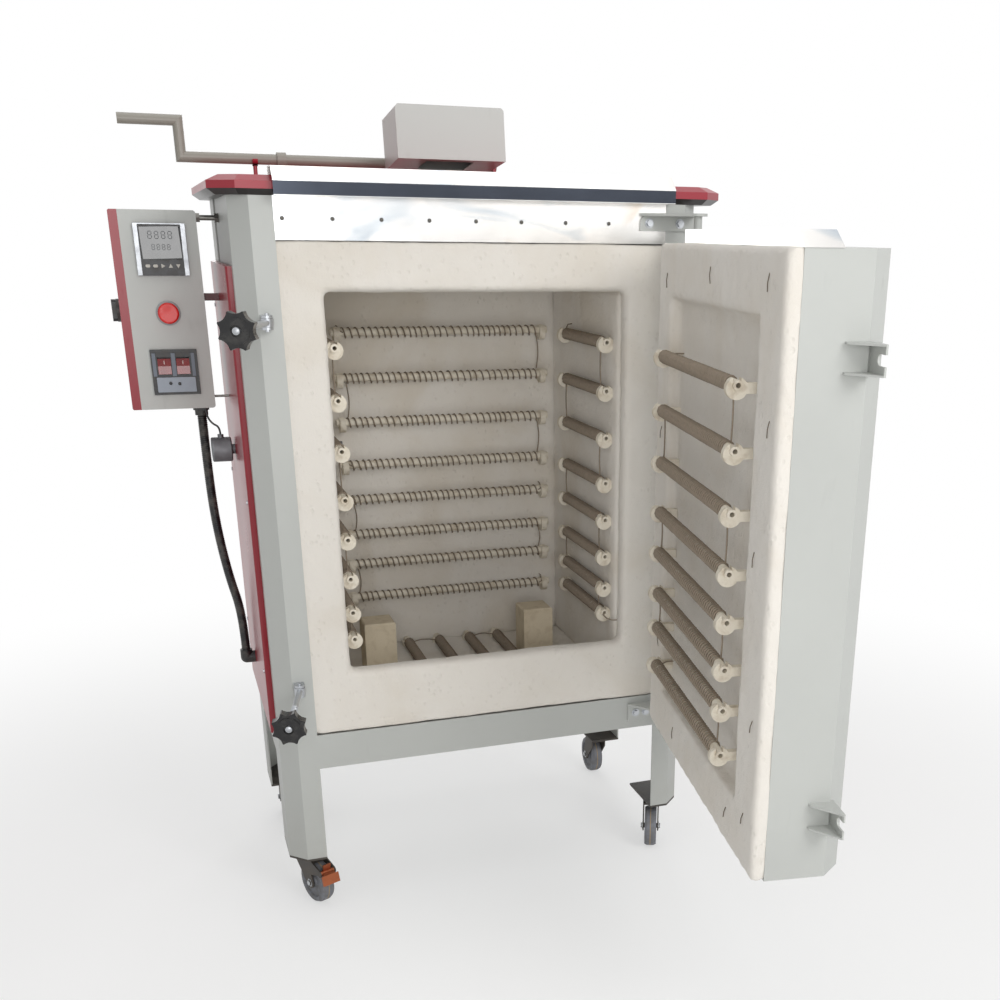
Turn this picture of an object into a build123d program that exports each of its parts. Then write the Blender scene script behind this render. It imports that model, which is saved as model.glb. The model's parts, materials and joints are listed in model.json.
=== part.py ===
from build123d import *
import os
from math import cos, radians, sin, tan

os.makedirs("parts", exist_ok=True)

# Front-loading chamber kiln on castors, drawn with its door open. Millimetres, +Z up.
# Cabinet coordinates: x from the cabinet's centre line, y back from the front of the fibre collar.

# Cabinet shell
COLLAR_W = 750.0
COLLAR_Z0 = 406.0
COLLAR_Z1 = 1361.0
COLLAR_T = 40.0
BODY_D = 545.0
POST_FLANGE = 41.0
POST_CHAMFER = 34.0
POST_LEG = 134.0
BODY_X = COLLAR_W / 2 + POST_FLANGE + POST_CHAMFER
POST_SHEET = 3.0
POST_Z0 = 124.0
POST_Z1 = 1434.0
RAIL_H = 75.0
RAIL_LIP = 45.0
PAN_LAP = 5.0
PANEL_T = 3.0
FOOT_PLATE_T = 5.0

# Side covers over the element terminals
COVER_Y0 = 60.0
COVER_Y1 = BODY_D - 60.0
COVER_Z0 = 400.0
COVER_Z1 = 1315.0
COVER_DEPTH = 12.0
COVER_SHEET = 2.0

# Fibre lining and chamber
OPENING_W = 592.0
OPENING_Z0 = 537.5
CHAMBER_Z0 = 432.0
CHAMBER_Z1 = 1273.0
CHAMBER_BACK = BODY_D - 80.0
BACK_LINING_T = 74.0
TUCK = 7.0
ROLL_R = 12.0

# Heating elements
ROW_Z = (1170.0, 1072.0, 975.0, 879.0, 799.0, 718.0, 647.0, 567.0)
SIDE_ROW_Z = ROW_Z[:-1] + (590.0,)
TUBE_R = 8.0
TUBE_BORE = 4.0
COIL_R = 13.0
COIL_CLEARANCE = 0.3
HOOK_R = 17.0
HOOK_T = 13.0
HOOK_STEM = 16.0
HOOK_SLOT = 13.0
HOOK_DROP = 5.0
HOOK_INSET = 13.0
COIL_END_GAP = 3.0
SIDE_STANDOFF = 18.0
BACK_STANDOFF = 25.0
BACK_ROW_X = (-230.0, 266.0)
LEFT_ROW_Y = (46.0, 350.0)
RIGHT_ROW_Y = (62.0, 352.0)
FLOOR_ROW_X = (-95.0, -20.0, 55.0, 125.0)
FLOOR_ROW_Y = (60.0, CHAMBER_BACK - 13.0)

# Kiln props
PROP_W = 70.0
PROP_H = 122.0
PROP_X = (-191.0, 181.0)
PROP_Y = 285.0

# Roof, hood and polished shield
ROOF_OVERHANG = 52.0
ROOF_LEFT = 32.0
ROOF_FRONT = 15.0
ROOF_CORNER = 45.0
ROOF_LOWER = 14.0
ROOF_UPPER = 22.0
ROOF_STEP_Z = (10.0, 23.0, 33.0)
ROOF_SHEET = 2.0
SHIELD_T = 1.2
HOOD_X = (-COLLAR_W / 2, COLLAR_W / 2 + 8.0)
HOOD_FRONT = 30.0
HOOD_FASCIA = 26.0
HOOD_RISE = 22.0
HOOD_BACK = 40.0
HOOD_SHEET = 1.5
SHIELD_SCREWS = 8
SHIELD_SCREW_PITCH = 88.0
SHIELD_SCREW_X0 = -361.0
SHIELD_SCREW_Z = 1397.0

# Vent
FLUE_Y = BODY_D - 270.0
FLUE_R = 48.0
FLUE_WALL = 4.0
FLUE_TOP = 1493.0
CAP_W = 217.0
CAP_L = 139.0
CAP_H = 98.0
CAP_DROP = 14.0
CAP_SHEET = 2.0
CAP_TILT = 6.5
ROD_R = 10.0
ROD_Y = FLUE_Y + 75.0
ROD_Z = 1508.0
ROD_END_X = 128.0
ELBOW_X = -BODY_X - 54.0
CRANK_H = 64.0
HANDLE_X = ELBOW_X - 109.0
CRADLE_X = 9.0 - COLLAR_W / 2
BEARING_X = 121.0
RUN_CLEARANCE = 0.06

# Door, open at rest
DOOR_OPEN = 80.8
HINGE_X = COLLAR_W / 2 + 31.0
HINGE_Y = -87.0
DOOR_HINGE_SIDE = 40.0
DOOR_FREE_SIDE = 772.0
DOOR_Z0 = COLLAR_Z0 - 4.4
DOOR_Z1 = COLLAR_Z1 + 4.0
DOOR_GAP = 3.0
DOOR_FIBRE_T = 24.0
DOOR_OUT = 78.0
DOOR_CHAMFER = 35.0
DOOR_SHEET = 2.0
DOOR_POCKET = (140.0, 662.0, 504.0, 1270.0)
DOOR_POCKET_DEPTH = 20.0
DOOR_ROW_X = (141.0, 633.0)
DOOR_ROW_OUT = 16.0
DOOR_CAP_X = (137.0, 774.0)
DOOR_CAP_W = 57.0
DOOR_CAP_H = 23.0
DOOR_CAP_SLOPE = 38.0

# Hinges
PIN_R = 8.0
STRAP_T = 6.0
STRAP_W = 36.0
STRAP_L = 110.0
BRACKET_T = 5.0
UPPER_PLATE_X = (HINGE_X - 86.0, HINGE_X + 28.0)
UPPER_PLATE_Z = (COLLAR_Z1 + 24.0, COLLAR_Z1 + 56.0)
LOWER_PLATE_X = (HINGE_X - 94.0, HINGE_X - 42.0)
LOWER_PLATE_Z = (COLLAR_Z0 - 58.0, COLLAR_Z0 - 15.0)

# Swing-bolt latches
LATCH_X = -COLLAR_W / 2 - 28.0
LATCH_Y = -16.0
LATCH_Z = (1222.0, 515.0)
LATCH_SWING = (19.5, 12.6)
EYE_R = 11.0
EYE_H = 14.0
EYE_PIN_R = 4.0
LUG_T = 5.0
BOLT_R = 6.0
BOLT_L = 207.0
KNOB_BASE = 173.0
KNOB_R = 33.0
KNOB_LOBES = 8
KNOB_H = 20.0
KNOB_HUB_R = 14.0
KNOB_HUB_H = 11.0
FORK_OUT = 50.0
FORK_W = 54.0
FORK_H = 44.0
FORK_SHEET = 3.0
FORK_SLOT = 16.0
FORK_SLOT_END = 804.0
FORK_FLANGE = 40.0

# Controller box
BOX_X = (-BODY_X - 184.0, -BODY_X - 41.0)
BOX_Y = (302.0, 412.0)
BOX_Z = (1035.0, 1411.0)
BOX_SHEET = 1.5
LID_DEPTH = 17.0
GAUGE_W = 96.0
GAUGE_X = BOX_X[1] - 70.5
GAUGE_Z = 1339.0
GAUGE_PROUD = 7.0
STOP_X = BOX_X[1] - 71.0
STOP_Z = 1221.0
STOP_R = 20.0
STOP_STEM_R = 11.0
STOP_TRAVEL = 4.0
PANEL_X = (BOX_X[1] - 115.0, BOX_X[1] - 26.0)
PANEL_Z = (1064.0, 1152.0)
PANEL_PROUD = 5.0
ROCKER_X = (BOX_X[1] - 90.0, BOX_X[1] - 54.5)
ROCKER_Z = 1120.0
ROCKER_W = 25.0
ROCKER_H = 31.0
ROCKER_TILT = 8.0
ROCKER_DEPTH = 3.0
SWITCH_Y = 355.0
SWITCH_Z = 1224.0
SWITCH_R = 22.0
SWITCH_DISC = 6.0
SWITCH_GRIP = 9.0
SWITCH_STEM_R = 4.0
ARM_Y = 330.0
ARM_TOP_Z = 1398.0
ARM_MID_Z = 1250.0
ARM_LOW_Z = 1055.0

# Conduit and temperature sensor
CONDUIT_R = 9.5
GLAND_R = 13.0
GLAND_H = 17.0
SENSOR_X = -BODY_X - 38.0
SENSOR_Y = 300.0
SENSOR_Z = 950.0
SENSOR_R = 25.0
SENSOR_H = 40.0
PROBE_R = 6.0
PROBE_END = 56.0 - OPENING_W / 2
PROBE_CLEARANCE = 0.2
LEAD_R = 2.0

# Castors
CASTOR_X = BODY_X - 42.0
CASTOR_Y = 75.0
WHEEL_R = 47.5
WHEEL_W = 28.0
TRAIL = 32.0
AXLE_R = 6.0
KINGPIN_R = 6.0
CROWN_Z = (100.5, 104.5)
RACE_R = 22.0
FORK_LEG_T = 3.0
FORK_GAP = 2.0
CASTOR_YAW = {
    "front_left": -66.5,
    "front_right": -113.0,
    "rear_left": 90.0,
    "rear_right": 90.0,
}

# Derived places
WALL_X = OPENING_W / 2
INNER_X = BODY_X - POST_SHEET - PANEL_T
RAIL_Z0 = COLLAR_Z0 - RAIL_H
PAN_Z = RAIL_Z0 + POST_SHEET
ROOF_Z = POST_Z1
ROOF_TOP = ROOF_Z + ROOF_STEP_Z[2]
HOOD_TOP = ROOF_Z + HOOD_FASCIA + HOOD_RISE
COVER_X = BODY_X + COVER_DEPTH
DOOR_IN = HINGE_Y + DOOR_GAP
DOOR_SEAM = DOOR_IN + DOOR_FIBRE_T
LID_X = BOX_X[0] - LID_DEPTH
SWITCH_X = LID_X - SWITCH_DISC - SWITCH_GRIP
FORK_TIP = DOOR_FREE_SIDE - (FORK_OUT - FORK_SHEET - DOOR_OUT + DOOR_CHAMFER) + FORK_W
OPEN_COS = cos(radians(DOOR_OPEN))
OPEN_SIN = sin(radians(DOOR_OPEN))
REACH_FRONT = HINGE_Y - FORK_TIP * OPEN_SIN - FORK_OUT * OPEN_COS

# The model's origin is on the floor below the middle of the whole object
CAB_X = -(BODY_X + ROOF_OVERHANG + SWITCH_X) / 2
CAB_Y = -(BODY_D + ROOF_OVERHANG + REACH_FRONT) / 2

MID_X = Plane(origin=(CAB_X, 0, 0), z_dir=(1, 0, 0))
MID_Y = Plane(origin=(0, CAB_Y + BODY_D / 2, 0), z_dir=(0, 1, 0))


def level(z, x=0.0, y=0.0):
    """Horizontal plane in cabinet coordinates, looking up."""
    return Plane(origin=(CAB_X + x, CAB_Y + y, z))


def facing(y, x=0.0, z=0.0):
    """Upright plane that looks out of the kiln's front: local x, then z."""
    return Plane(origin=(CAB_X + x, CAB_Y + y, z), x_dir=(1, 0, 0), z_dir=(0, -1, 0))


def across(x, y=0.0, z=0.0):
    """Upright plane that looks towards +x: local y, then z."""
    return Plane(origin=(CAB_X + x, CAB_Y + y, z), x_dir=(0, 1, 0), z_dir=(1, 0, 0))


def slab(x, y, z, mode=Mode.ADD):
    """Rectangular block between three pairs of cabinet coordinates."""
    middle = (CAB_X + sum(x) / 2, CAB_Y + sum(y) / 2, sum(z) / 2)
    with Locations(middle):
        Box(x[1] - x[0], y[1] - y[0], z[1] - z[0], mode=mode)


def rod(plane, radius, length, mode=Mode.ADD):
    """Round bar along a plane's normal."""
    with BuildSketch(plane) as circle:
        Circle(radius)
    extrude(circle.sketch, amount=length, mode=mode)


def prism(plane, points, amount, both=False, mode=Mode.ADD):
    """Solid with straight edges, drawn by its corners on a plane."""
    with BuildSketch(plane) as outline:
        with BuildLine():
            Polyline(*points, close=True)
        make_face()
    extrude(outline.sketch, amount=amount, both=both, mode=mode)


def save(built, name):
    """Name a finished piece and write its file."""
    built.part.label = name
    export_step(built.part, f"parts/{name}.step")


# Door planes: local x runs from the hinge axis to the free side, local y points outwards
DOOR = Plane(
    origin=(CAB_X + HINGE_X, CAB_Y + HINGE_Y, 0),
    x_dir=(-OPEN_COS, -OPEN_SIN, 0),
    z_dir=(0, 0, 1),
)


def door_face(out):
    """Upright plane in the door that looks into the chamber: local x, then z."""
    return Plane(DOOR.from_local_coords((0, out, 0)), x_dir=DOOR.x_dir, z_dir=-DOOR.y_dir)


# Corner posts
with BuildPart() as post_front_right:
    with BuildSketch(level(POST_Z0)):
        with BuildLine():
            fold = Polyline(
                (COLLAR_W / 2, 0),
                (COLLAR_W / 2 + POST_FLANGE, 0),
                (BODY_X, POST_CHAMFER),
                (BODY_X, POST_LEG),
            )
            offset(fold, amount=POST_SHEET, side=Side.LEFT, kind=Kind.INTERSECTION)
        make_face()
    extrude(amount=POST_Z1 - POST_Z0)

with BuildPart() as post_front_left:
    mirror(post_front_right.part, about=MID_X)

with BuildPart() as post_rear_right:
    mirror(post_front_right.part, about=MID_Y)

with BuildPart() as post_rear_left:
    mirror(post_rear_right.part, about=MID_X)

save(post_front_left, "post_front_left")
save(post_front_right, "post_front_right")
save(post_rear_left, "post_rear_left")
save(post_rear_right, "post_rear_right")

# Foot plates with the fixed half of each castor
with BuildPart() as foot_plates:
    plate_points = (
        (COLLAR_W / 2, 0),
        (COLLAR_W / 2 + POST_FLANGE, 0),
        (BODY_X, POST_CHAMFER),
        (BODY_X, POST_LEG),
        (COLLAR_W / 2, POST_LEG),
    )
    prism(level(POST_Z0), plate_points, -FOOT_PLATE_T)
    rod(level(POST_Z0 - FOOT_PLATE_T, CASTOR_X, CASTOR_Y), RACE_R, -8.5)
    rod(level(POST_Z0 - FOOT_PLATE_T, CASTOR_X, CASTOR_Y), KINGPIN_R, -19.0)
    rod(level(CROWN_Z[0] - 0.4, CASTOR_X, CASTOR_Y), 9.0, -2.6)
    mirror(about=MID_X)
    mirror(about=MID_Y)

save(foot_plates, "foot_plates")

# Base rails with the floor pan, and the header over the door opening
with BuildPart() as frame_rails:
    half = COLLAR_W / 2
    rail = (
        (0, RAIL_Z0),
        (RAIL_LIP, RAIL_Z0),
        (RAIL_LIP, PAN_Z),
        (POST_SHEET, PAN_Z),
        (POST_SHEET, COLLAR_Z0),
        (0, COLLAR_Z0),
    )
    prism(across(0), rail, half, both=True)
    mirror(about=MID_Y)
    side_rail = tuple((BODY_X - depth, z) for depth, z in rail)
    prism(facing(BODY_D / 2), side_rail, BODY_D / 2 - POST_LEG, both=True)
    mirror(about=MID_X)
    header = (
        (0, COLLAR_Z1),
        (0, POST_Z1),
        (COLLAR_T, POST_Z1),
        (COLLAR_T, POST_Z1 - POST_SHEET),
        (POST_SHEET, POST_Z1 - POST_SHEET),
        (POST_SHEET, COLLAR_Z1),
    )
    prism(across(0), header, half, both=True)

    pan_x = INNER_X - TUCK
    slab((-pan_x, pan_x), (RAIL_LIP - PAN_LAP, BODY_D - RAIL_LIP + PAN_LAP), (PAN_Z, PAN_Z + POST_SHEET))

save(frame_rails, "frame_rails")

# Side and rear panels, the left one with the sensor's hole
PANEL_Y = (COLLAR_T + 1, BODY_D - COLLAR_T - 1)
with BuildPart() as body_panels:
    slab((INNER_X, INNER_X + PANEL_T), PANEL_Y, (PAN_Z, POST_Z1))
    mirror(about=MID_X)
    rod(across(-INNER_X, SENSOR_Y, SENSOR_Z), PROBE_R + PROBE_CLEARANCE, -PANEL_T, Mode.SUBTRACT)
    rear_half = COLLAR_W / 2 + POST_FLANGE - TUCK
    rear_y = BODY_D - POST_SHEET
    slab((-rear_half, rear_half), (rear_y - PANEL_T, rear_y), (PAN_Z, POST_Z1))

save(body_panels, "body_panels")

# Terminal covers on both sides: folded pans, open towards the cabinet
with BuildPart() as side_covers:
    slab((BODY_X, COVER_X), (COVER_Y0, COVER_Y1), (COVER_Z0, COVER_Z1))
    upright = side_covers.edges().filter_by(Axis.Z).group_by(Axis.X)[-1]
    fillet(upright, 5.0)
    inside_y = (COVER_Y0 + COVER_SHEET, COVER_Y1 - COVER_SHEET)
    inside_z = (COVER_Z0 + COVER_SHEET, COVER_Z1 - COVER_SHEET)
    slab((BODY_X, COVER_X - COVER_SHEET), inside_y, inside_z, Mode.SUBTRACT)
    mirror(about=MID_X)
    rod(across(-COVER_X, SENSOR_Y, SENSOR_Z), PROBE_R + PROBE_CLEARANCE, COVER_DEPTH, Mode.SUBTRACT)

save(side_covers, "side_covers")

# Fibre collar round the door opening
with BuildPart() as lining_collar:
    slab((-COLLAR_W / 2, COLLAR_W / 2), (0, COLLAR_T), (COLLAR_Z0, COLLAR_Z1))
    fillet(lining_collar.faces().sort_by(Axis.Y)[0].edges(), ROLL_R / 2)
    tucked = COLLAR_W / 2 + POST_FLANGE - TUCK
    slab((-tucked, tucked), (POST_SHEET, COLLAR_T), (COLLAR_Z0, COLLAR_Z1))
    with BuildSketch(facing(0)):
        with Locations((0, (OPENING_Z0 + CHAMBER_Z1) / 2)):
            Rectangle(OPENING_W, CHAMBER_Z1 - OPENING_Z0)
    extrude(amount=-COLLAR_T, mode=Mode.SUBTRACT)
    mouth = lining_collar.faces().sort_by(Axis.Y)[0].inner_wires()[0]
    fillet(mouth.edges(), ROLL_R)

save(lining_collar, "lining_collar")

# Chamber lining
LINING_Y = (COLLAR_T, BODY_D - COLLAR_T)
with BuildPart() as lining_right:
    slab((WALL_X, INNER_X), (COLLAR_T, CHAMBER_BACK + BACK_LINING_T), (CHAMBER_Z0, CHAMBER_Z1))
    rear_corner = lining_right.edges().filter_by(Axis.Z).group_by(Axis.X)[-1].sort_by(Axis.Y)[-1]
    chamfer(rear_corner, POST_CHAMFER + POST_SHEET)

with BuildPart() as lining_left:
    mirror(lining_right.part, about=MID_X)
    wall = INNER_X - WALL_X
    rod(across(-INNER_X, SENSOR_Y, SENSOR_Z), PROBE_R + PROBE_CLEARANCE, wall, Mode.SUBTRACT)

with BuildPart() as lining_back:
    back_y = (CHAMBER_BACK, CHAMBER_BACK + BACK_LINING_T)
    slab((-WALL_X, WALL_X), back_y, (CHAMBER_Z0, CHAMBER_Z1))

with BuildPart() as lining_floor:
    slab((-INNER_X + TUCK, INNER_X - TUCK), LINING_Y, (PAN_Z + POST_SHEET, CHAMBER_Z0))

with BuildPart() as lining_roof:
    slab((-INNER_X + TUCK, INNER_X - TUCK), LINING_Y, (CHAMBER_Z1, POST_Z1))
    rod(level(CHAMBER_Z1, 0, FLUE_Y), FLUE_R + FLUE_WALL, POST_Z1 - CHAMBER_Z1, Mode.SUBTRACT)

save(lining_left, "lining_left")
save(lining_right, "lining_right")
save(lining_back, "lining_back")
save(lining_floor, "lining_floor")
save(lining_roof, "lining_roof")


def element_tube(start, direction, length, standoff, towards_wall):
    """Ceramic tube held by two open hooks whose stems end on the wall."""
    rod(Plane(start, z_dir=direction), TUBE_R, length)
    along = Vector(direction).normalized()
    for place in (HOOK_INSET, length - HOOK_INSET):
        middle = Vector(start) + along * place
        hook = Plane(middle, x_dir=towards_wall, z_dir=along)
        rise = round(hook.y_dir.Z)
        with BuildSketch(hook) as outline:
            with Locations((0, -rise * HOOK_DROP)):
                Circle(HOOK_R)
            with Locations((standoff / 2, -rise * HOOK_DROP)):
                Rectangle(standoff, HOOK_STEM)
            with Locations((0, rise * HOOK_R)):
                Rectangle(HOOK_SLOT, 2 * HOOK_R, mode=Mode.SUBTRACT)
        extrude(outline.sketch, amount=HOOK_T / 2, both=True)
    rod(Plane(start, z_dir=direction), TUBE_BORE, length, Mode.SUBTRACT)


def coil(start, direction, length):
    """Space that one wound element fills round its tube, from hook to hook."""
    end_gap = HOOK_INSET + HOOK_T / 2 + COIL_END_GAP
    origin = Vector(start) + Vector(direction).normalized() * end_gap
    with BuildSketch(Plane(origin, z_dir=direction)) as ring:
        Circle(COIL_R)
        Circle(TUBE_R + COIL_CLEARANCE, mode=Mode.SUBTRACT)
    extrude(ring.sketch, amount=length - 2 * end_gap)


BACK_Y = CHAMBER_BACK - BACK_STANDOFF
SIDE_X = WALL_X - SIDE_STANDOFF
FLOOR_Z = CHAMBER_Z0 + COIL_R + COIL_CLEARANCE


def row_start(x, y, z):
    """Model-space start of an element row given in cabinet coordinates."""
    return (CAB_X + x, CAB_Y + y, z)


with BuildPart() as ceramics_back:
    for z in ROW_Z:
        start = row_start(BACK_ROW_X[0], BACK_Y, z)
        element_tube(start, (1, 0, 0), BACK_ROW_X[1] - BACK_ROW_X[0], BACK_STANDOFF, (0, 1, 0))

with BuildPart() as ceramics_sides:
    for z in SIDE_ROW_Z:
        left = row_start(-SIDE_X, LEFT_ROW_Y[0], z)
        element_tube(left, (0, 1, 0), LEFT_ROW_Y[1] - LEFT_ROW_Y[0], SIDE_STANDOFF, (-1, 0, 0))
        right = row_start(SIDE_X, RIGHT_ROW_Y[0], z)
        element_tube(right, (0, 1, 0), RIGHT_ROW_Y[1] - RIGHT_ROW_Y[0], SIDE_STANDOFF, (1, 0, 0))

with BuildPart() as tubes_floor:
    for x in FLOOR_ROW_X:
        floor_length = FLOOR_ROW_Y[1] - FLOOR_ROW_Y[0]
        rod(facing(FLOOR_ROW_Y[0], x, FLOOR_Z), TUBE_R, -floor_length)
        saddle = (x - COIL_R, x + COIL_R)
        for y in (FLOOR_ROW_Y[0] + HOOK_INSET, FLOOR_ROW_Y[1] - HOOK_INSET):
            slab(saddle, (y - HOOK_T / 2, y + HOOK_T / 2), (CHAMBER_Z0, FLOOR_Z))

with BuildPart() as coils_chamber:
    for z in ROW_Z:
        coil(row_start(BACK_ROW_X[0], BACK_Y, z), (1, 0, 0), BACK_ROW_X[1] - BACK_ROW_X[0])
    for z in SIDE_ROW_Z:
        coil(row_start(-SIDE_X, LEFT_ROW_Y[0], z), (0, 1, 0), LEFT_ROW_Y[1] - LEFT_ROW_Y[0])
        coil(row_start(SIDE_X, RIGHT_ROW_Y[0], z), (0, 1, 0), RIGHT_ROW_Y[1] - RIGHT_ROW_Y[0])
    for x in FLOOR_ROW_X:
        coil(row_start(x, FLOOR_ROW_Y[0], FLOOR_Z), (0, 1, 0), FLOOR_ROW_Y[1] - FLOOR_ROW_Y[0])

save(ceramics_back, "ceramics_back")
save(ceramics_sides, "ceramics_sides")
save(tubes_floor, "tubes_floor")
save(coils_chamber, "coils_chamber")

with BuildPart() as kiln_props:
    for x in PROP_X:
        reach = PROP_W / 2
        prop_z = (CHAMBER_Z0, CHAMBER_Z0 + PROP_H)
        slab((x - reach, x + reach), (PROP_Y - reach, PROP_Y + reach), prop_z)
    chamfer(kiln_props.faces().group_by(Axis.Z)[-1].edges(), 3.0)

save(kiln_props, "kiln_props")

# Roof: a folded pan with bevelled edges, a flue hole and the vent rod's two supports


def roof_outline(z, inset):
    """Plan of the roof at a height, drawn in by an inset, with its corners cut off."""
    low_y = -ROOF_FRONT + inset
    high_y = BODY_D + ROOF_OVERHANG - inset
    left = -BODY_X - ROOF_LEFT + inset
    reach = BODY_X + ROOF_OVERHANG - inset
    cut = ROOF_CORNER - inset * (2 - 2**0.5)
    with BuildSketch(level(z)) as outline:
        with BuildLine():
            Polyline(
                (left, low_y + cut),
                (left + cut, low_y),
                (reach - cut, low_y),
                (reach, low_y + cut),
                (reach, high_y - cut),
                (reach - cut, high_y),
                (left + cut, high_y),
                (left, high_y - cut),
                close=True,
            )
        make_face()
    return outline.sketch


def pan_body(wall, mode):
    """Bevelled body of the roof pan, drawn in by its wall."""
    z0 = ROOF_Z + wall
    z1 = ROOF_Z + ROOF_STEP_Z[0]
    z2 = ROOF_Z + ROOF_STEP_Z[1]
    z3 = ROOF_TOP - wall
    rise = (z1 - z0) / ROOF_STEP_Z[0]
    drop = (z3 - z2) / (ROOF_STEP_Z[2] - ROOF_STEP_Z[1])
    loft([roof_outline(z0, ROOF_LOWER * rise + wall), roof_outline(z1, wall)], mode=mode)
    extrude(roof_outline(z1, wall), amount=z2 - z1, mode=mode)
    loft([roof_outline(z2, wall), roof_outline(z3, ROOF_UPPER * drop + wall)], mode=mode)


with BuildPart() as roof_pan:
    pan_body(0.0, Mode.ADD)
    pan_body(ROOF_SHEET, Mode.SUBTRACT)
    inside = BODY_X - RAIL_LIP
    bottom_y = (RAIL_LIP, BODY_D - RAIL_LIP)
    slab((-inside, inside), bottom_y, (ROOF_Z, ROOF_Z + ROOF_SHEET), Mode.SUBTRACT)
    flue_hole = FLUE_R + FLUE_WALL
    rod(level(ROOF_TOP, 0, FLUE_Y), flue_hole, -ROOF_SHEET, Mode.SUBTRACT)
    rod(level(ROOF_TOP, CRADLE_X, ROD_Y), 4.0, ROD_Z - ROD_R - 2.0 - ROOF_TOP)
    with BuildSketch(across(CRADLE_X, ROD_Y, ROD_Z)):
        Circle(ROD_R + 3.0)
        Circle(ROD_R + RUN_CLEARANCE, mode=Mode.SUBTRACT)
        with Locations((0, ROD_R)):
            Rectangle(4 * ROD_R, 2 * ROD_R, mode=Mode.SUBTRACT)
    extrude(amount=5.0, both=True)
    with BuildSketch(across(BEARING_X, ROD_Y, ROD_Z)):
        Circle(ROD_R + 7.0)
        with Locations((0, (ROOF_TOP - ROD_Z) / 2)):
            Rectangle(2 * ROD_R + 14.0, ROD_Z - ROOF_TOP)
        Circle(ROD_R + RUN_CLEARANCE, mode=Mode.SUBTRACT)
    extrude(amount=3.0, both=True)

save(roof_pan, "roof_pan")

# Polished hood over the roof's front edge, and the polished shield below it
with BuildPart() as roof_hood:
    fascia_top = ROOF_Z + HOOD_FASCIA
    with BuildSketch(across(HOOD_X[0])):
        with BuildLine():
            bend = Polyline(
                (-HOOD_FRONT / 4, ROOF_Z),
                (-HOOD_FRONT, ROOF_Z),
                (-HOOD_FRONT, fascia_top),
                (-HOOD_FRONT + HOOD_RISE, HOOD_TOP),
                (HOOD_BACK, HOOD_TOP),
                (HOOD_BACK, ROOF_TOP),
            )
            offset(bend, amount=HOOD_SHEET, side=Side.RIGHT, kind=Kind.INTERSECTION)
        make_face()
    extrude(amount=HOOD_X[1] - HOOD_X[0])

with BuildPart() as heat_shield:
    slab((-COLLAR_W / 2, COLLAR_W / 2), (-SHIELD_T, 0), (COLLAR_Z1, POST_Z1))

save(roof_hood, "roof_hood")
save(heat_shield, "heat_shield")

# Flue sleeve with its flange on the roof
with BuildPart() as vent_sleeve:
    rod(level(CHAMBER_Z1, 0, FLUE_Y), FLUE_R + FLUE_WALL, FLUE_TOP - CHAMBER_Z1)
    with BuildSketch(level(ROOF_TOP, 0, FLUE_Y)):
        RectangleRounded(170, 110, 6)
    extrude(amount=3.0)
    rod(level(CHAMBER_Z1, 0, FLUE_Y), FLUE_R, FLUE_TOP - CHAMBER_Z1, Mode.SUBTRACT)

save(vent_sleeve, "vent_sleeve")

# Vent cap and its rod, tipped up at the front about the rod
TILT = radians(CAP_TILT)
CAP = Plane(
    origin=(CAB_X, CAB_Y + ROD_Y, ROD_Z),
    x_dir=(0, -cos(TILT), sin(TILT)),
    z_dir=(-1, 0, 0),
)

with BuildPart() as vent_cap:
    cap_back = ROD_R + COIL_CLEARANCE
    with BuildSketch(CAP):
        with Locations((cap_back + CAP_L / 2, -CAP_DROP + CAP_H / 2)):
            Rectangle(CAP_L, CAP_H)
    extrude(amount=CAP_W / 2, both=True)
    top_edges = vent_cap.faces().sort_by(Axis.Z)[-1].edges().filter_by(Axis.X, reverse=True)
    chamfer(top_edges, 5.0)
    with BuildSketch(CAP):
        with Locations((cap_back + CAP_L / 2, -CAP_DROP + CAP_H / 2 - CAP_SHEET)):
            Rectangle(CAP_L - 2 * CAP_SHEET, CAP_H - 4 * CAP_SHEET)
    extrude(amount=CAP_W / 2 - CAP_SHEET - 5.0, both=True, mode=Mode.SUBTRACT)
    with BuildSketch(CAP):
        with Locations((cap_back + CAP_L / 2, -CAP_DROP)):
            Circle(FLUE_R)
    extrude(amount=FLUE_R, both=True, mode=Mode.SUBTRACT)
    for place in (-CAP_W / 3, CAP_W / 3):
        with BuildSketch(CAP.offset(place)) as saddle:
            with Locations((cap_back / 2, 0)):
                Rectangle(cap_back, 2 * ROD_R)
            Circle(ROD_R + RUN_CLEARANCE, mode=Mode.SUBTRACT)
        extrude(saddle.sketch, amount=10.0, both=True)

with BuildPart() as vent_lever:
    with BuildLine() as crank:
        Polyline(
            (CAB_X + ROD_END_X, CAB_Y + ROD_Y, ROD_Z),
            (CAB_X + ELBOW_X, CAB_Y + ROD_Y, ROD_Z),
            (CAB_X + ELBOW_X, CAB_Y + ROD_Y, ROD_Z + CRANK_H),
            (CAB_X + HANDLE_X, CAB_Y + ROD_Y, ROD_Z + CRANK_H),
        )
    with BuildSketch(across(ROD_END_X, ROD_Y, ROD_Z)) as tube:
        Circle(ROD_R)
    sweep(tube.sketch, path=crank.line, transition=Transition.RIGHT)
    rod(across(CRADLE_X + 43.0, ROD_Y, ROD_Z), ROD_R + 4.0, 18.0)

save(vent_cap, "vent_cap")
save(vent_lever, "vent_lever")

# Door shell: a folded tray, open towards the chamber


def door_plan(wall, inner):
    """Corners of the door's plan, drawn in by its wall, from the inner side outwards."""
    low = DOOR_HINGE_SIDE + wall
    high = DOOR_FREE_SIDE - wall
    out = DOOR_OUT - wall
    cut = DOOR_CHAMFER - wall * (2 - 2**0.5)
    return (
        (low, inner),
        (high, inner),
        (high, out - cut),
        (high - cut, out),
        (low + cut, out),
        (low, out - cut),
    )


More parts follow.
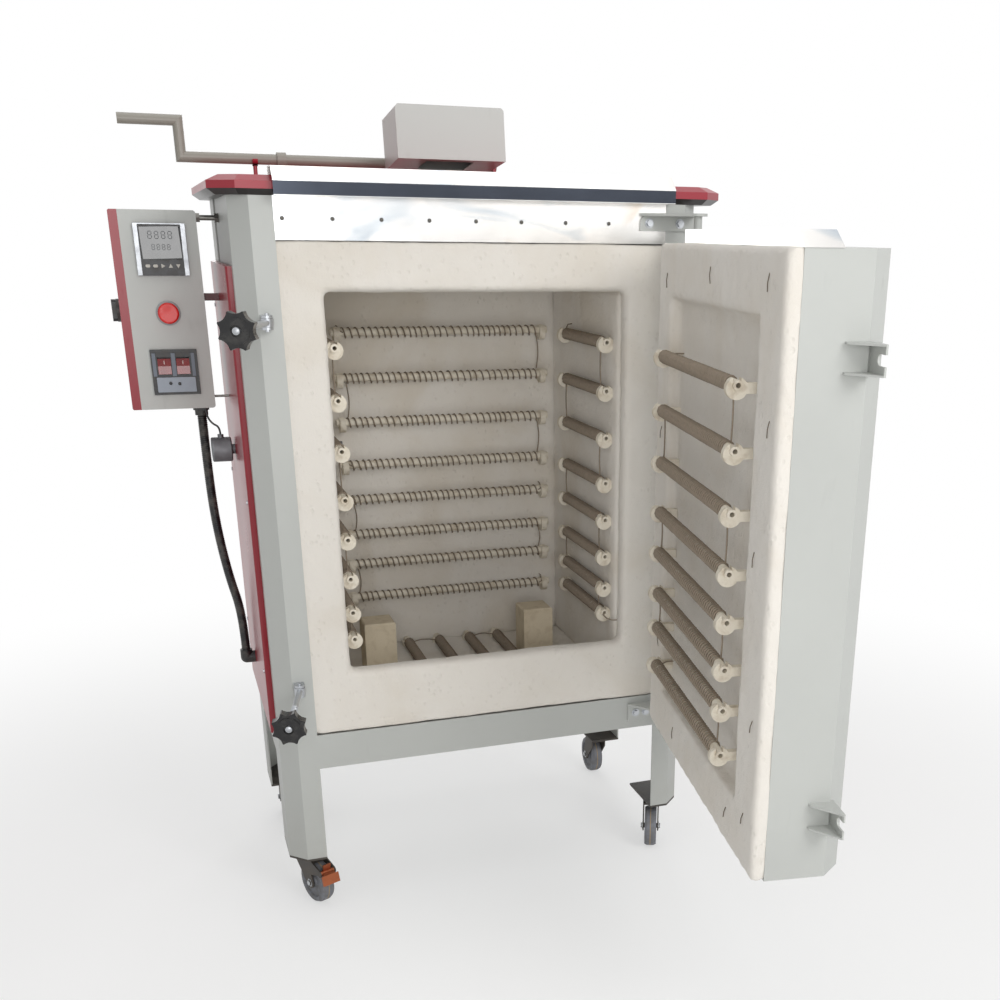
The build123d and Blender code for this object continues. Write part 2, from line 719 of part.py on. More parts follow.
with BuildPart() as door_shell:
    prism(DOOR.offset(DOOR_Z0), door_plan(0.0, DOOR_SEAM), DOOR_Z1 - DOOR_Z0)
    tray_h = DOOR_Z1 - DOOR_Z0 - 2 * DOOR_SHEET
    prism(DOOR.offset(DOOR_Z0 + DOOR_SHEET), door_plan(DOOR_SHEET, DOOR_SEAM), tray_h, mode=Mode.SUBTRACT)
    for strap_z in (DOOR_Z0 - STRAP_T, DOOR_Z1):
        with BuildSketch(DOOR.offset(strap_z)) as strap:
            Circle(STRAP_W / 2)
            with Locations((STRAP_L / 2, 0)):
                Rectangle(STRAP_L, STRAP_W)
            Circle(PIN_R + RUN_CLEARANCE, mode=Mode.SUBTRACT)
        extrude(strap.sketch, amount=STRAP_T)

with BuildPart() as door_lining:
    fibre_plan = (
        (DOOR_HINGE_SIDE, DOOR_IN),
        (DOOR_FREE_SIDE, DOOR_IN),
        (DOOR_FREE_SIDE, DOOR_SEAM),
        (DOOR_HINGE_SIDE, DOOR_SEAM),
    )
    prism(DOOR.offset(DOOR_Z0), fibre_plan, DOOR_Z1 - DOOR_Z0)
    rolled = door_lining.faces().sort_by(Axis(DOOR.origin, DOOR.y_dir))[0].edges()
    fillet(rolled, ROLL_R / 2)
    core_h = DOOR_Z1 - DOOR_Z0 - 2 * DOOR_SHEET
    prism(DOOR.offset(DOOR_Z0 + DOOR_SHEET), door_plan(DOOR_SHEET, DOOR_SEAM), core_h)
    x0, x1, z0, z1 = DOOR_POCKET
    pocket = ((x0, z0), (x1, z0), (x1, z1), (x0, z1))
    prism(door_face(DOOR_IN), pocket, -DOOR_POCKET_DEPTH, mode=Mode.SUBTRACT)

save(door_shell, "door_shell")
save(door_lining, "door_lining")

with BuildPart() as door_cap:
    low, high = DOOR_CAP_X
    top = DOOR_Z1 + DOOR_CAP_H
    side_view = ((low, DOOR_Z1), (high, DOOR_Z1), (high - DOOR_CAP_SLOPE, top), (low, top))
    prism(door_face(DOOR_SEAM), side_view, -DOOR_CAP_W)
    inner_view = (
        (low + POST_SHEET, DOOR_Z1),
        (high - POST_SHEET, DOOR_Z1),
        (high - DOOR_CAP_SLOPE - POST_SHEET, top - COVER_SHEET),
        (low + POST_SHEET, top - COVER_SHEET),
    )
    inner_face = door_face(DOOR_SEAM + COVER_SHEET)
    prism(inner_face, inner_view, -DOOR_CAP_W + 2 * COVER_SHEET, mode=Mode.SUBTRACT)

save(door_cap, "door_cap")

DOOR_ROW_Y = DOOR_IN - DOOR_ROW_OUT
DOOR_STANDOFF = DOOR_ROW_OUT + DOOR_POCKET_DEPTH
with BuildPart() as ceramics_door:
    for z in ROW_Z:
        start = DOOR.from_local_coords((DOOR_ROW_X[0], DOOR_ROW_Y, z))
        length = DOOR_ROW_X[1] - DOOR_ROW_X[0]
        element_tube(start, DOOR.x_dir, length, DOOR_STANDOFF, DOOR.y_dir)

with BuildPart() as coils_door:
    for z in ROW_Z:
        start = DOOR.from_local_coords((DOOR_ROW_X[0], DOOR_ROW_Y, z))
        coil(start, DOOR.x_dir, DOOR_ROW_X[1] - DOOR_ROW_X[0])

save(ceramics_door, "ceramics_door")
save(coils_door, "coils_door")

# Latch forks: folded channels with a slot for the swing bolt
with BuildPart() as latch_forks:
    web_start = DOOR_FREE_SIDE - (FORK_OUT - FORK_SHEET - DOOR_OUT + DOOR_CHAMFER)
    for z in LATCH_Z:
        with BuildSketch(door_face(FORK_OUT)) as web:
            with Locations(((web_start + FORK_TIP) / 2, z)):
                Rectangle(FORK_W, FORK_H)
            with Locations((FORK_SLOT_END, z)):
                Circle(FORK_SLOT / 2, mode=Mode.SUBTRACT)
            with Locations(((FORK_SLOT_END + FORK_TIP) / 2, z)):
                Rectangle(FORK_TIP - FORK_SLOT_END, FORK_SLOT, mode=Mode.SUBTRACT)
        extrude(web.sketch, amount=FORK_SHEET)
        web_back = FORK_OUT - FORK_SHEET
        flange = (
            (DOOR_FREE_SIDE, web_back - FORK_FLANGE),
            (DOOR_FREE_SIDE + 8.0, web_back - FORK_FLANGE),
            (FORK_TIP, web_back),
            (web_start, web_back),
            (DOOR_FREE_SIDE, DOOR_OUT - DOOR_CHAMFER),
        )
        for flange_z in (z - FORK_H / 2, z + FORK_H / 2 - FORK_SHEET):
            prism(DOOR.offset(flange_z), flange, FORK_SHEET)

save(latch_forks, "latch_forks")

# Hinge brackets on the cabinet: bolted plate, flange and pin
PIN_GAP = 0.3
with BuildPart() as hinge_brackets:
    upper_back = -SHIELD_T
    with BuildSketch(facing(upper_back)) as upper_plate:
        with BuildLine():
            corner_r = 20.0
            FilletPolyline(
                (UPPER_PLATE_X[0], UPPER_PLATE_Z[1]),
                (UPPER_PLATE_X[0], UPPER_PLATE_Z[0]),
                (UPPER_PLATE_X[1], UPPER_PLATE_Z[0]),
                (UPPER_PLATE_X[1], UPPER_PLATE_Z[1]),
                radius=(corner_r, 2.0, 2.0, 2.0),
                close=True,
            )
        make_face()
    extrude(upper_plate.sketch, amount=BRACKET_T)
    with BuildSketch(facing(0)) as lower_plate:
        lower_w = LOWER_PLATE_X[1] - LOWER_PLATE_X[0]
        lower_h = LOWER_PLATE_Z[1] - LOWER_PLATE_Z[0]
        with Locations((sum(LOWER_PLATE_X) / 2, sum(LOWER_PLATE_Z) / 2)):
            RectangleRounded(lower_w, lower_h, 4)
    extrude(lower_plate.sketch, amount=BRACKET_T)
    flanges = (
        (UPPER_PLATE_X, upper_back, UPPER_PLATE_Z[1] - BRACKET_T),
        (LOWER_PLATE_X, 0.0, LOWER_PLATE_Z[1] - BRACKET_T),
    )
    for plate_x, plate_y, z in flanges:
        with BuildSketch(level(z)) as flange_plan:
            with Locations((sum(plate_x) / 2, plate_y - BRACKET_T / 2)):
                Rectangle(plate_x[1] - plate_x[0], BRACKET_T)
            with Locations((HINGE_X, HINGE_Y)):
                Circle(STRAP_W / 2)
            make_hull()
        extrude(flange_plan.sketch, amount=BRACKET_T)
    upper_under = UPPER_PLATE_Z[1] - BRACKET_T
    rod(level(upper_under, HINGE_X, HINGE_Y), PIN_R, DOOR_Z1 - 10.0 - upper_under)
    rod(level(LOWER_PLATE_Z[1], HINGE_X, HINGE_Y), PIN_R, DOOR_Z0 + 10.0 - LOWER_PLATE_Z[1])
    shoulder = DOOR_Z0 - STRAP_T - PIN_GAP - LOWER_PLATE_Z[1]
    rod(level(LOWER_PLATE_Z[1], HINGE_X, HINGE_Y), PIN_R * 1.5, shoulder)

save(hinge_brackets, "hinge_brackets")

# Latch ears on the left post with their pivot pins
with BuildPart() as latch_ears:
    for z in LATCH_Z:
        for ear_z in (z - EYE_H / 2 - 0.5 - LUG_T, z + EYE_H / 2 + 0.5):
            with BuildSketch(level(ear_z, LATCH_X)) as ear:
                with Locations((0, LATCH_Y / 2)):
                    Rectangle(2 * EYE_R - 2.0, -LATCH_Y)
                with Locations((0, LATCH_Y)):
                    Circle(EYE_R - 1.0)
            extrude(ear.sketch, amount=LUG_T)
        pin_low = z - EYE_H / 2 - LUG_T - 4.0
        rod(level(pin_low, LATCH_X, LATCH_Y), EYE_PIN_R, EYE_H + 2 * LUG_T + 8.0)

save(latch_ears, "latch_ears")


def swing(index):
    """Plane at a latch's pivot that looks along its bolt."""
    angle = radians(LATCH_SWING[index])
    pivot = (CAB_X + LATCH_X, CAB_Y + LATCH_Y, LATCH_Z[index])
    return Plane(pivot, x_dir=(cos(angle), -sin(angle), 0), z_dir=(-sin(angle), -cos(angle), 0))


def swing_bolt(index):
    """Eye bolt that swings about the ears' pin."""
    with BuildPart() as built:
        rod(swing(index), BOLT_R, BOLT_L)
        rod(level(LATCH_Z[index] - EYE_H / 2, LATCH_X, LATCH_Y), EYE_R, EYE_H)
        hole_r = EYE_PIN_R + RUN_CLEARANCE
        rod(level(LATCH_Z[index] - EYE_H / 2, LATCH_X, LATCH_Y), hole_r, EYE_H, Mode.SUBTRACT)
    return built


def star_knob(index):
    """Star-shaped clamping knob with scalloped lobes, a hub and a shallow dished front."""
    with BuildPart() as built:
        base = swing(index).offset(KNOB_BASE)
        rod(base, KNOB_HUB_R, KNOB_HUB_H)
        with BuildSketch(base.offset(KNOB_HUB_H)) as star:
            Circle(KNOB_R)
            with PolarLocations(1.4 * KNOB_R, KNOB_LOBES):
                Circle(0.58 * KNOB_R, mode=Mode.SUBTRACT)
        extrude(star.sketch, amount=KNOB_H)
        front_plane = base.offset(KNOB_HUB_H + KNOB_H)
        rod(front_plane, 0.66 * KNOB_R, 2.0)
        rod(front_plane.offset(2.0), 0.3 * KNOB_R, -4.0, Mode.SUBTRACT)
        rod(base, BOLT_R + RUN_CLEARANCE, KNOB_HUB_H + KNOB_H, Mode.SUBTRACT)
    return built


save(swing_bolt(0), "swing_bolt_upper")
save(swing_bolt(1), "swing_bolt_lower")
save(star_knob(0), "star_knob_upper")
save(star_knob(1), "star_knob_lower")

# Screws and bolts that show on the front and the left cover
with BuildPart() as front_fasteners:
    for index in range(SHIELD_SCREWS):
        x = SHIELD_SCREW_X0 + index * SHIELD_SCREW_PITCH
        rod(facing(-SHIELD_T, x, SHIELD_SCREW_Z), 4.0, 1.6)
    bracket_bolts = (
        (UPPER_PLATE_X[0] + 18.0, -SHIELD_T - BRACKET_T, UPPER_PLATE_Z[0] + 14.0),
        (UPPER_PLATE_X[1] - 31.0, -SHIELD_T - BRACKET_T, UPPER_PLATE_Z[0] + 14.0),
        (sum(LOWER_PLATE_X) / 2 - 8.0, -BRACKET_T, LOWER_PLATE_Z[0] + 21.0),
        (sum(LOWER_PLATE_X) / 2 + 16.0, -BRACKET_T, LOWER_PLATE_Z[0] + 21.0),
    )
    for x, y, z in bracket_bolts:
        rod(facing(y, x, z), 9.0, 1.5)
        with BuildSketch(facing(y - 1.5, x, z)) as hexagon:
            RegularPolygon(6.5, 6)
        extrude(hexagon.sketch, amount=5.0)
    for z in (1228.0, 880.0, 531.0):
        rod(across(-COVER_X, COVER_Y0 + 20.0, z), 4.0, -2.0)
        rod(across(-COVER_X, COVER_Y1 - 20.0, z), 4.0, -2.0)

save(front_fasteners, "front_fasteners")

# Controller box, open on its left, and the lid that closes it
with BuildPart() as controller_box:
    slab(BOX_X, BOX_Y, BOX_Z)
    box_corners = controller_box.edges().filter_by(Axis.Y).group_by(Axis.X)[-1]
    fillet(box_corners, 6.0)
    wall = BOX_SHEET
    hollow_y = (BOX_Y[0] + wall, BOX_Y[1] - wall)
    slab((BOX_X[0], BOX_X[1] - wall), hollow_y, (BOX_Z[0] + wall, BOX_Z[1] - wall), Mode.SUBTRACT)
    cut_y = (BOX_Y[0], BOX_Y[0] + wall)
    gauge_hole = GAUGE_W / 2 - 3.0
    gauge_x = (GAUGE_X - gauge_hole, GAUGE_X + gauge_hole)
    slab(gauge_x, cut_y, (GAUGE_Z - gauge_hole, GAUGE_Z + gauge_hole), Mode.SUBTRACT)
    slab((PANEL_X[0] + 5, PANEL_X[1] - 5), cut_y, (PANEL_Z[0] + 5, PANEL_Z[1] - 5), Mode.SUBTRACT)
    rod(facing(BOX_Y[0], STOP_X, STOP_Z), STOP_STEM_R + RUN_CLEARANCE, -wall, Mode.SUBTRACT)

with BuildPart() as controller_lid:
    slab((LID_X, BOX_X[0]), BOX_Y, BOX_Z)
    lid_edges = controller_lid.edges().filter_by(Axis.Y).group_by(Axis.X)[0]
    fillet(lid_edges, 4.0)
    inner_z = (BOX_Z[0] + BOX_SHEET, BOX_Z[1] - BOX_SHEET)
    slab((LID_X + BOX_SHEET, BOX_X[0]), hollow_y, inner_z, Mode.SUBTRACT)
    stem_r = SWITCH_STEM_R + RUN_CLEARANCE
    rod(across(LID_X, SWITCH_Y, SWITCH_Z), stem_r, BOX_SHEET, Mode.SUBTRACT)

save(controller_box, "controller_box")
save(controller_lid, "controller_lid")

with BuildPart() as temperature_controller:
    with BuildSketch(facing(BOX_Y[0], GAUGE_X, GAUGE_Z)):
        RectangleRounded(GAUGE_W, GAUGE_W, 3)
    extrude(amount=GAUGE_PROUD)
    with BuildSketch(facing(BOX_Y[0] - GAUGE_PROUD, GAUGE_X, GAUGE_Z)):
        Rectangle(GAUGE_W - 16.0, GAUGE_W - 4.0)
    extrude(amount=-1.5, mode=Mode.SUBTRACT)
    with BuildSketch(facing(BOX_Y[0], GAUGE_X, GAUGE_Z)):
        Rectangle(2 * gauge_hole - 0.4, 2 * gauge_hole - 0.4)
    extrude(amount=-60.0)
    with BuildSketch(facing(BOX_Y[0] - GAUGE_PROUD + 1.5, GAUGE_X, GAUGE_Z - 30.0)):
        with GridLocations(14.0, 0, 5, 1):
            RectangleRounded(10.0, 7.0, 2.0)
    extrude(amount=1.0)

save(temperature_controller, "temperature_controller")

with BuildPart() as switch_panel:
    panel_w = PANEL_X[1] - PANEL_X[0]
    panel_h = PANEL_Z[1] - PANEL_Z[0]
    with BuildSketch(facing(BOX_Y[0], sum(PANEL_X) / 2, sum(PANEL_Z) / 2)):
        Rectangle(panel_w, panel_h)
    extrude(amount=PANEL_PROUD)
    with BuildSketch(facing(BOX_Y[0] - PANEL_PROUD, sum(PANEL_X) / 2, sum(PANEL_Z) / 2)):
        Rectangle(panel_w - 10.0, panel_h - 10.0)
    extrude(amount=-2.0, mode=Mode.SUBTRACT)
    with BuildSketch(facing(BOX_Y[0], sum(PANEL_X) / 2, sum(PANEL_Z) / 2)):
        Rectangle(panel_w - 10.4, panel_h - 10.4)
    extrude(amount=-25.0)
    for x in ROCKER_X:
        with BuildSketch(facing(BOX_Y[0] - PANEL_PROUD, x, ROCKER_Z)) as window:
            Rectangle(ROCKER_W + 0.6, ROCKER_H + 3.0)
        extrude(window.sketch, amount=-20.0, mode=Mode.SUBTRACT)

save(switch_panel, "switch_panel")


def rocker(x):
    """Rocker switch cap with a shallow V face, tipped to one side."""
    with BuildPart() as built:
        tip = radians(ROCKER_TILT)
        pivot = Plane(
            row_start(x, BOX_Y[0] - PANEL_PROUD + ROCKER_DEPTH, ROCKER_Z),
            x_dir=(0, cos(tip), sin(tip)),
            z_dir=(1, 0, 0),
        )
        half_h = ROCKER_H / 2
        corners = ((9.0, -half_h + 3), (-5.0, -half_h), (-2.0, 0), (-5.0, half_h), (9.0, half_h - 3))
        prism(pivot, corners, ROCKER_W / 2, both=True)
    return built


save(rocker(ROCKER_X[0]), "rocker_left")
save(rocker(ROCKER_X[1]), "rocker_right")

with BuildPart() as stop_button:
    stop_gap = STOP_TRAVEL + 0.5
    head = facing(BOX_Y[0] - stop_gap, STOP_X, STOP_Z)
    rod(head, STOP_R, 9.0)
    fillet(stop_button.edges().group_by(Axis.Y)[0], 4.0)
    rod(head, STOP_STEM_R, -stop_gap - 24.0)

save(stop_button, "stop_button")

with BuildPart() as main_switch:
    disc = across(LID_X, SWITCH_Y, SWITCH_Z)
    rod(disc.offset(-0.2), SWITCH_R, 0.2 - SWITCH_DISC)
    with BuildSketch(disc.offset(-SWITCH_DISC)):
        SlotOverall(2 * SWITCH_R - 2.0, 12.0, rotation=90)
    extrude(amount=-SWITCH_GRIP)
    rod(disc.offset(-0.2), SWITCH_STEM_R, 12.0)

save(main_switch, "main_switch")

# Arms that carry the box, and the box's cable fittings
with BuildPart() as box_arms:
    panel_x = -(BODY_X - POST_SHEET)
    rod(across(BOX_X[1], ARM_Y, ARM_TOP_Z), 5.0, panel_x - BOX_X[1])
    for nut_x in (BOX_X[1], panel_x - 8.0):
        with BuildSketch(across(nut_x, ARM_Y, ARM_TOP_Z)) as nut:
            RegularPolygon(9.5, 6)
        extrude(nut.sketch, amount=8.0)
    slab((BOX_X[1], -COVER_X), (ARM_Y - 7, ARM_Y + 7), (ARM_MID_Z - 7, ARM_MID_Z + 7))
    rod(across(BOX_X[1], ARM_Y, ARM_LOW_Z), 2.5, -COVER_X - BOX_X[1])

save(box_arms, "box_arms")

# Conduit route, from the box's bottom gland to the elbow on the side cover
CONDUIT_OUT = BOX_X[1] - 28.0
CONDUIT_IN = -BODY_X - 30.0
CONDUIT_ROUTE = (
    (CONDUIT_OUT, 1018.0),
    (CONDUIT_OUT, 905.0),
    (CONDUIT_OUT + 4.0, 790.0),
    (CONDUIT_OUT + 19.0, 672.0),
    (CONDUIT_IN, 585.0),
    (CONDUIT_IN, 500.0),
)
CONDUIT_Y = 330.0


def bend_radii(points):
    """Radius at each inner corner: 0.45 of the shorter run over the tangent of half the turn."""
    radii = []
    for before, here, after in zip(points, points[1:], points[2:]):
        first = Vector(*here) - Vector(*before)
        second = Vector(*after) - Vector(*here)
        turn = radians(first.get_angle(second))
        radii.append(0.45 * min(first.length, second.length) / tan(turn / 2))
    return radii


route = [row_start(x, CONDUIT_Y, z) for x, z in CONDUIT_ROUTE]
conduit_radii = bend_radii(route)
print("conduit radii", [round(radius) for radius in conduit_radii])
with BuildPart() as conduit:
    with BuildLine() as conduit_path:
        FilletPolyline(*route, radius=conduit_radii)
    with BuildSketch(Plane(route[0], x_dir=(1, 0, 0), z_dir=(0, 0, -1))) as conduit_section:
        Circle(CONDUIT_R)
    sweep(conduit_section.sketch, path=conduit_path.line)
section_area = conduit_section.sketch.area
conduit_length = conduit_path.wires()[0].length
print("conduit volume ratio", round(conduit.part.volume / (section_area * conduit_length), 4))

save(conduit, "conduit")

with BuildPart() as conduit_fittings:
    start_x, start_z = CONDUIT_ROUTE[0]
    end_x, end_z = CONDUIT_ROUTE[-1]
    rod(level(start_z, start_x, CONDUIT_Y), GLAND_R, BOX_Z[0] - start_z)
    with BuildSketch(level(BOX_Z[0] - 7.0, start_x, CONDUIT_Y)) as gland_nut:
        RegularPolygon(GLAND_R + 3.0, 6)
    extrude(gland_nut.sketch, amount=7.0)
    elbow_drop = 18.0
    rod(level(end_z, end_x, CONDUIT_Y), GLAND_R, -elbow_drop)
    with Locations(row_start(end_x, CONDUIT_Y, end_z - elbow_drop)):
        Sphere(GLAND_R)
    rod(across(end_x, CONDUIT_Y, end_z - elbow_drop), GLAND_R, -COVER_X - end_x)

save(conduit_fittings, "conduit_fittings")

# Temperature sensor: cast head, neck and probe, with its short lead from the box
with BuildPart() as thermocouple:
    head_x = SENSOR_X - SENSOR_H / 2
    rod(across(head_x, SENSOR_Y, SENSOR_Z), SENSOR_R, SENSOR_H)
    fillet(thermocouple.edges(), 3.0)
    rod(across(head_x + SENSOR_H, SENSOR_Y, SENSOR_Z), 10.0, -COVER_X - head_x - SENSOR_H)
    rod(across(head_x, SENSOR_Y, SENSOR_Z), PROBE_R, PROBE_END - head_x)
    rod(level(SENSOR_Z, SENSOR_X, SENSOR_Y), 6.0, SENSOR_R + 6.0)

save(thermocouple, "thermocouple")

LEAD_OUT = BOX_X[1] - 20.0
SENSOR_LEAD = (
    row_start(LEAD_OUT, SENSOR_Y + 10.0, BOX_Z[0]),
    row_start(LEAD_OUT, SENSOR_Y + 10.0, BOX_Z[0] - 17.0),
    row_start(LEAD_OUT + 9.0, SENSOR_Y + 3.0, BOX_Z[0] - 32.0),
    row_start(SENSOR_X, SENSOR_Y, BOX_Z[0] - 39.0),
    row_start(SENSOR_X, SENSOR_Y, SENSOR_Z + SENSOR_R + 6.0),
)
lead_radii = bend_radii(SENSOR_LEAD)
print("lead radii", [round(radius, 1) for radius in lead_radii])
with BuildPart() as sensor_lead:
    with BuildLine() as lead_path:
        FilletPolyline(*SENSOR_LEAD, radius=lead_radii)
    with BuildSketch(Plane(SENSOR_LEAD[0], x_dir=(1, 0, 0), z_dir=(0, 0, -1))) as lead_section:
        Circle(LEAD_R)
    sweep(lead_section.sketch, path=lead_path.line)
lead_area = lead_section.sketch.area
lead_length = lead_path.wires()[0].length
print("lead volume ratio", round(sensor_lead.part.volume / (lead_area * lead_length), 4))

save(sensor_lead, "sensor_lead")

# Castors
CASTOR_PLACE = {
    "front_left": (-CASTOR_X, CASTOR_Y),
    "front_right": (CASTOR_X, CASTOR_Y),
    "rear_left": (-CASTOR_X, BODY_D - CASTOR_Y),
    "rear_right": (CASTOR_X, BODY_D - CASTOR_Y),
}
BRAKED = "front_left"
FORK_INNER = WHEEL_W / 2 + FORK_GAP
FORK_OUTER = FORK_INNER + FORK_LEG_T
PEDAL_PIVOT = (74.0, 84.0)
PEDAL_PIN_R = 2.5


def castor_section(corner):
    """Upright plane through a castor's trail direction: local x is the trail, local y is z."""
    x, y = CASTOR_PLACE[corner]
    yaw = radians(CASTOR_YAW[corner])
    return Plane(
        (CAB_X + x, CAB_Y + y, 0),
        x_dir=(cos(yaw), sin(yaw), 0),
        z_dir=(sin(yaw), -cos(yaw), 0),
    )


def castor_fork(corner):
    """Swivelling fork with its axle, and on the braked castor the pedal's pin."""
    section = castor_section(corner)
    x, y = CASTOR_PLACE[corner]
    with BuildPart() as built:
        with BuildSketch(section) as leg:
            with Locations((TRAIL, WHEEL_R)):
                Circle(13.0)
            with Locations((4.0, CROWN_Z[1] - 8.0)):
                Rectangle(50.0, 16.0)
            make_hull()
            if corner == BRAKED:
                with Locations(PEDAL_PIVOT):
                    Circle(7.0)
                prongs = ((10, CROWN_Z[1]), (40, CROWN_Z[1]), (PEDAL_PIVOT[0] + 3, 91), (66, 78), (40, 70))
                Polygon(*prongs, align=None)
        extrude(leg.sketch, amount=FORK_OUTER, both=True)
        with BuildSketch(section) as inside_leg:
            with Locations((TRAIL, CROWN_Z[0] / 2)):
                Rectangle(160.0, CROWN_Z[0])
            with Locations((TRAIL + 46.0, CROWN_Z[1])):
                Rectangle(50.0, 60.0)
        extrude(inside_leg.sketch, amount=FORK_INNER, both=True, mode=Mode.SUBTRACT)
        rod(level(CROWN_Z[1], x, y), RACE_R, 5.4)
        rod(level(CROWN_Z[0], x, y), KINGPIN_R + RUN_CLEARANCE, 12.0, Mode.SUBTRACT)
        with BuildSketch(section) as axle:
            with Locations((TRAIL, WHEEL_R)):
                Circle(AXLE_R)
        extrude(axle.sketch, amount=FORK_OUTER + 3.0, both=True)
        if corner == BRAKED:
            with BuildSketch(section) as pedal_pin:
                with Locations(PEDAL_PIVOT):
                    Circle(PEDAL_PIN_R)
            extrude(pedal_pin.sketch, amount=FORK_OUTER, both=True)
    return built


def castor_wheel(corner):
    """Castor wheel with a tyre groove, a dished hub and a bore on the axle."""
    section = castor_section(corner)
    axle = section.from_local_coords((TRAIL, WHEEL_R, 0))
    axle_plane = Plane(axle, x_dir=section.x_dir, z_dir=section.z_dir)
    half_w = WHEEL_W / 2
    turned = Plane(axle_plane.origin, x_dir=section.x_dir, z_dir=(0, 0, 1))
    with BuildPart() as built:
        with BuildSketch(turned) as profile:
            with BuildLine():
                Polyline(
                    (AXLE_R + RUN_CLEARANCE, -half_w),
                    (AXLE_R + 8.0, -half_w),
                    (AXLE_R + 10.0, -half_w + 4),
                    (WHEEL_R - 14.0, -half_w + 4),
                    (WHEEL_R - 12.0, -half_w),
                    (WHEEL_R - 3.0, -half_w),
                    (WHEEL_R, -half_w + 6),
                    (WHEEL_R, -1.0),
                    (WHEEL_R - 1.0, 0),
                    (WHEEL_R, 1.0),
                    (WHEEL_R, half_w - 6),
                    (WHEEL_R - 3.0, half_w),
                    (WHEEL_R - 12.0, half_w),
                    (WHEEL_R - 14.0, half_w - 4),
                    (AXLE_R + 10.0, half_w - 4),
                    (AXLE_R + 8.0, half_w),
                    (AXLE_R + RUN_CLEARANCE, half_w),
                    close=True,
                )
            make_face()
        revolve(profile.sketch, axis=Axis(axle_plane.origin, section.z_dir))
    return built


for corner_name in CASTOR_PLACE:
    save(castor_fork(corner_name), f"castor_fork_{corner_name}")
    save(castor_wheel(corner_name), f"castor_wheel_{corner_name}")

with BuildPart() as brake_pedal:
    pedal_section = castor_section(BRAKED)
    px, pz = PEDAL_PIVOT
    with BuildSketch(pedal_section) as hub:
        with Locations(PEDAL_PIVOT):
            Circle(6.0)
            Circle(PEDAL_PIN_R + RUN_CLEARANCE, mode=Mode.SUBTRACT)
    extrude(hub.sketch, amount=FORK_INNER - 0.5, both=True)
    arm = ((px + 2, pz - 5), (px + 3, pz + 4), (px + 14, pz), (px + 12, pz - 4))
    prism(pedal_section, arm, FORK_INNER - 3.0, both=True)
    pad = ((px + 11, pz - 3), (px + 14, pz), (px + 20, pz - 21), (px + 16, pz - 22))
    prism(pedal_section, pad, FORK_INNER + 4.0, both=True)
    tab = ((px - 2, pz + 5), (px + 1, pz + 5), (px + 4, pz + 20), (px + 1, pz + 20))
    prism(pedal_section, tab, 9.0, both=True)

save(brake_pedal, "brake_pedal")
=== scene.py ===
import json
import random
from math import cos, pi, radians, sin

import bpy
from mathutils import Matrix, Vector, noise


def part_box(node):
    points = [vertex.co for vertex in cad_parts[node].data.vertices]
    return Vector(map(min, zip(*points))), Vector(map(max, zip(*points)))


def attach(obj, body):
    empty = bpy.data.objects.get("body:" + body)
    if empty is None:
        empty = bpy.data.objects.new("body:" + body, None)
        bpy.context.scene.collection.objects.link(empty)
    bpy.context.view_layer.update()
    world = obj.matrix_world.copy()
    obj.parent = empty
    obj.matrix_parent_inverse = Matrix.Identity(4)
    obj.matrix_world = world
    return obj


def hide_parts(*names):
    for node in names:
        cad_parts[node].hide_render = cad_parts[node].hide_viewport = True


bl_info = {
    "name": "Ceramic Kiln",
    "version": (1, 0, 0),
    "blender": (4, 5, 0),
    "location": "3D View > Sidebar > Kiln",
    "description": "Dresses the packed kiln with its finishes, fibre, wound elements and fittings",
    "category": "Object",
}

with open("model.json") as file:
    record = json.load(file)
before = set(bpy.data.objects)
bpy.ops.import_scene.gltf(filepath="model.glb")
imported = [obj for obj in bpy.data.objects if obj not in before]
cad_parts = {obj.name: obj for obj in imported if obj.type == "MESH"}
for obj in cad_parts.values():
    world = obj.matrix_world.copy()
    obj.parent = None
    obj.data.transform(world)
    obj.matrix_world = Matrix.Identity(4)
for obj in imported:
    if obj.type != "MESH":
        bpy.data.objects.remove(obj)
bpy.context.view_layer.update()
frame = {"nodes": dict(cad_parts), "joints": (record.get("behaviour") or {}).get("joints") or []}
JOINTS = {joint["name"]: joint for joint in frame["joints"]}

COLLAR_LOW, COLLAR_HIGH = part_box("lining_collar")
CABINET = Vector(((COLLAR_LOW.x + COLLAR_HIGH.x) / 2, COLLAR_LOW.y, 0))
DOOR_OPEN = radians(80.8)
HINGE = Vector((0.406, -0.087, 0))

# Element rows: heights, then where each wall's tubes run between their hooks.
BACK_ROWS = (1.170, 1.072, 0.975, 0.879, 0.799, 0.718, 0.647, 0.567)
SIDE_ROWS = BACK_ROWS[:-1] + (0.590,)
FLOOR_ROWS = (-0.095, -0.020, 0.055, 0.125)
BACK_LEADS = ("right", "left", "right", None, "left", "right", "left")
BACK_SPAN = (-0.230, 0.266)
BACK_DEPTH = 0.440
LEFT_WALL = (-0.278, 0.046, 0.350)
RIGHT_WALL = (0.278, 0.062, 0.352)
FLOOR_SPAN = (0.060, 0.452)
FLOOR_HEIGHT = 0.4453
DOOR_SPAN = (0.141, 0.633)
DOOR_DEPTH = -0.100
HOOK_REACH = 0.0225
BARE = 0.012
HANG = 0.0012

WALLS = ("left", "right", "back", "floor", "roof")
HELD_BACK = 0.001
CORNERS = ("front_left", "front_right", "rear_left", "rear_right")

# Camera solved from the photograph.
CAMERA_PLACE = Vector((-0.53664, -2.19827, 1.37718))
CAMERA_YAW = radians(21.0440)
CAMERA_PITCH = radians(21.34374)
CAMERA_ROLL = radians(0.79763)
CAMERA_LENS = 43.259
CAMERA_SHIFT = (-0.1169, 0.2044)

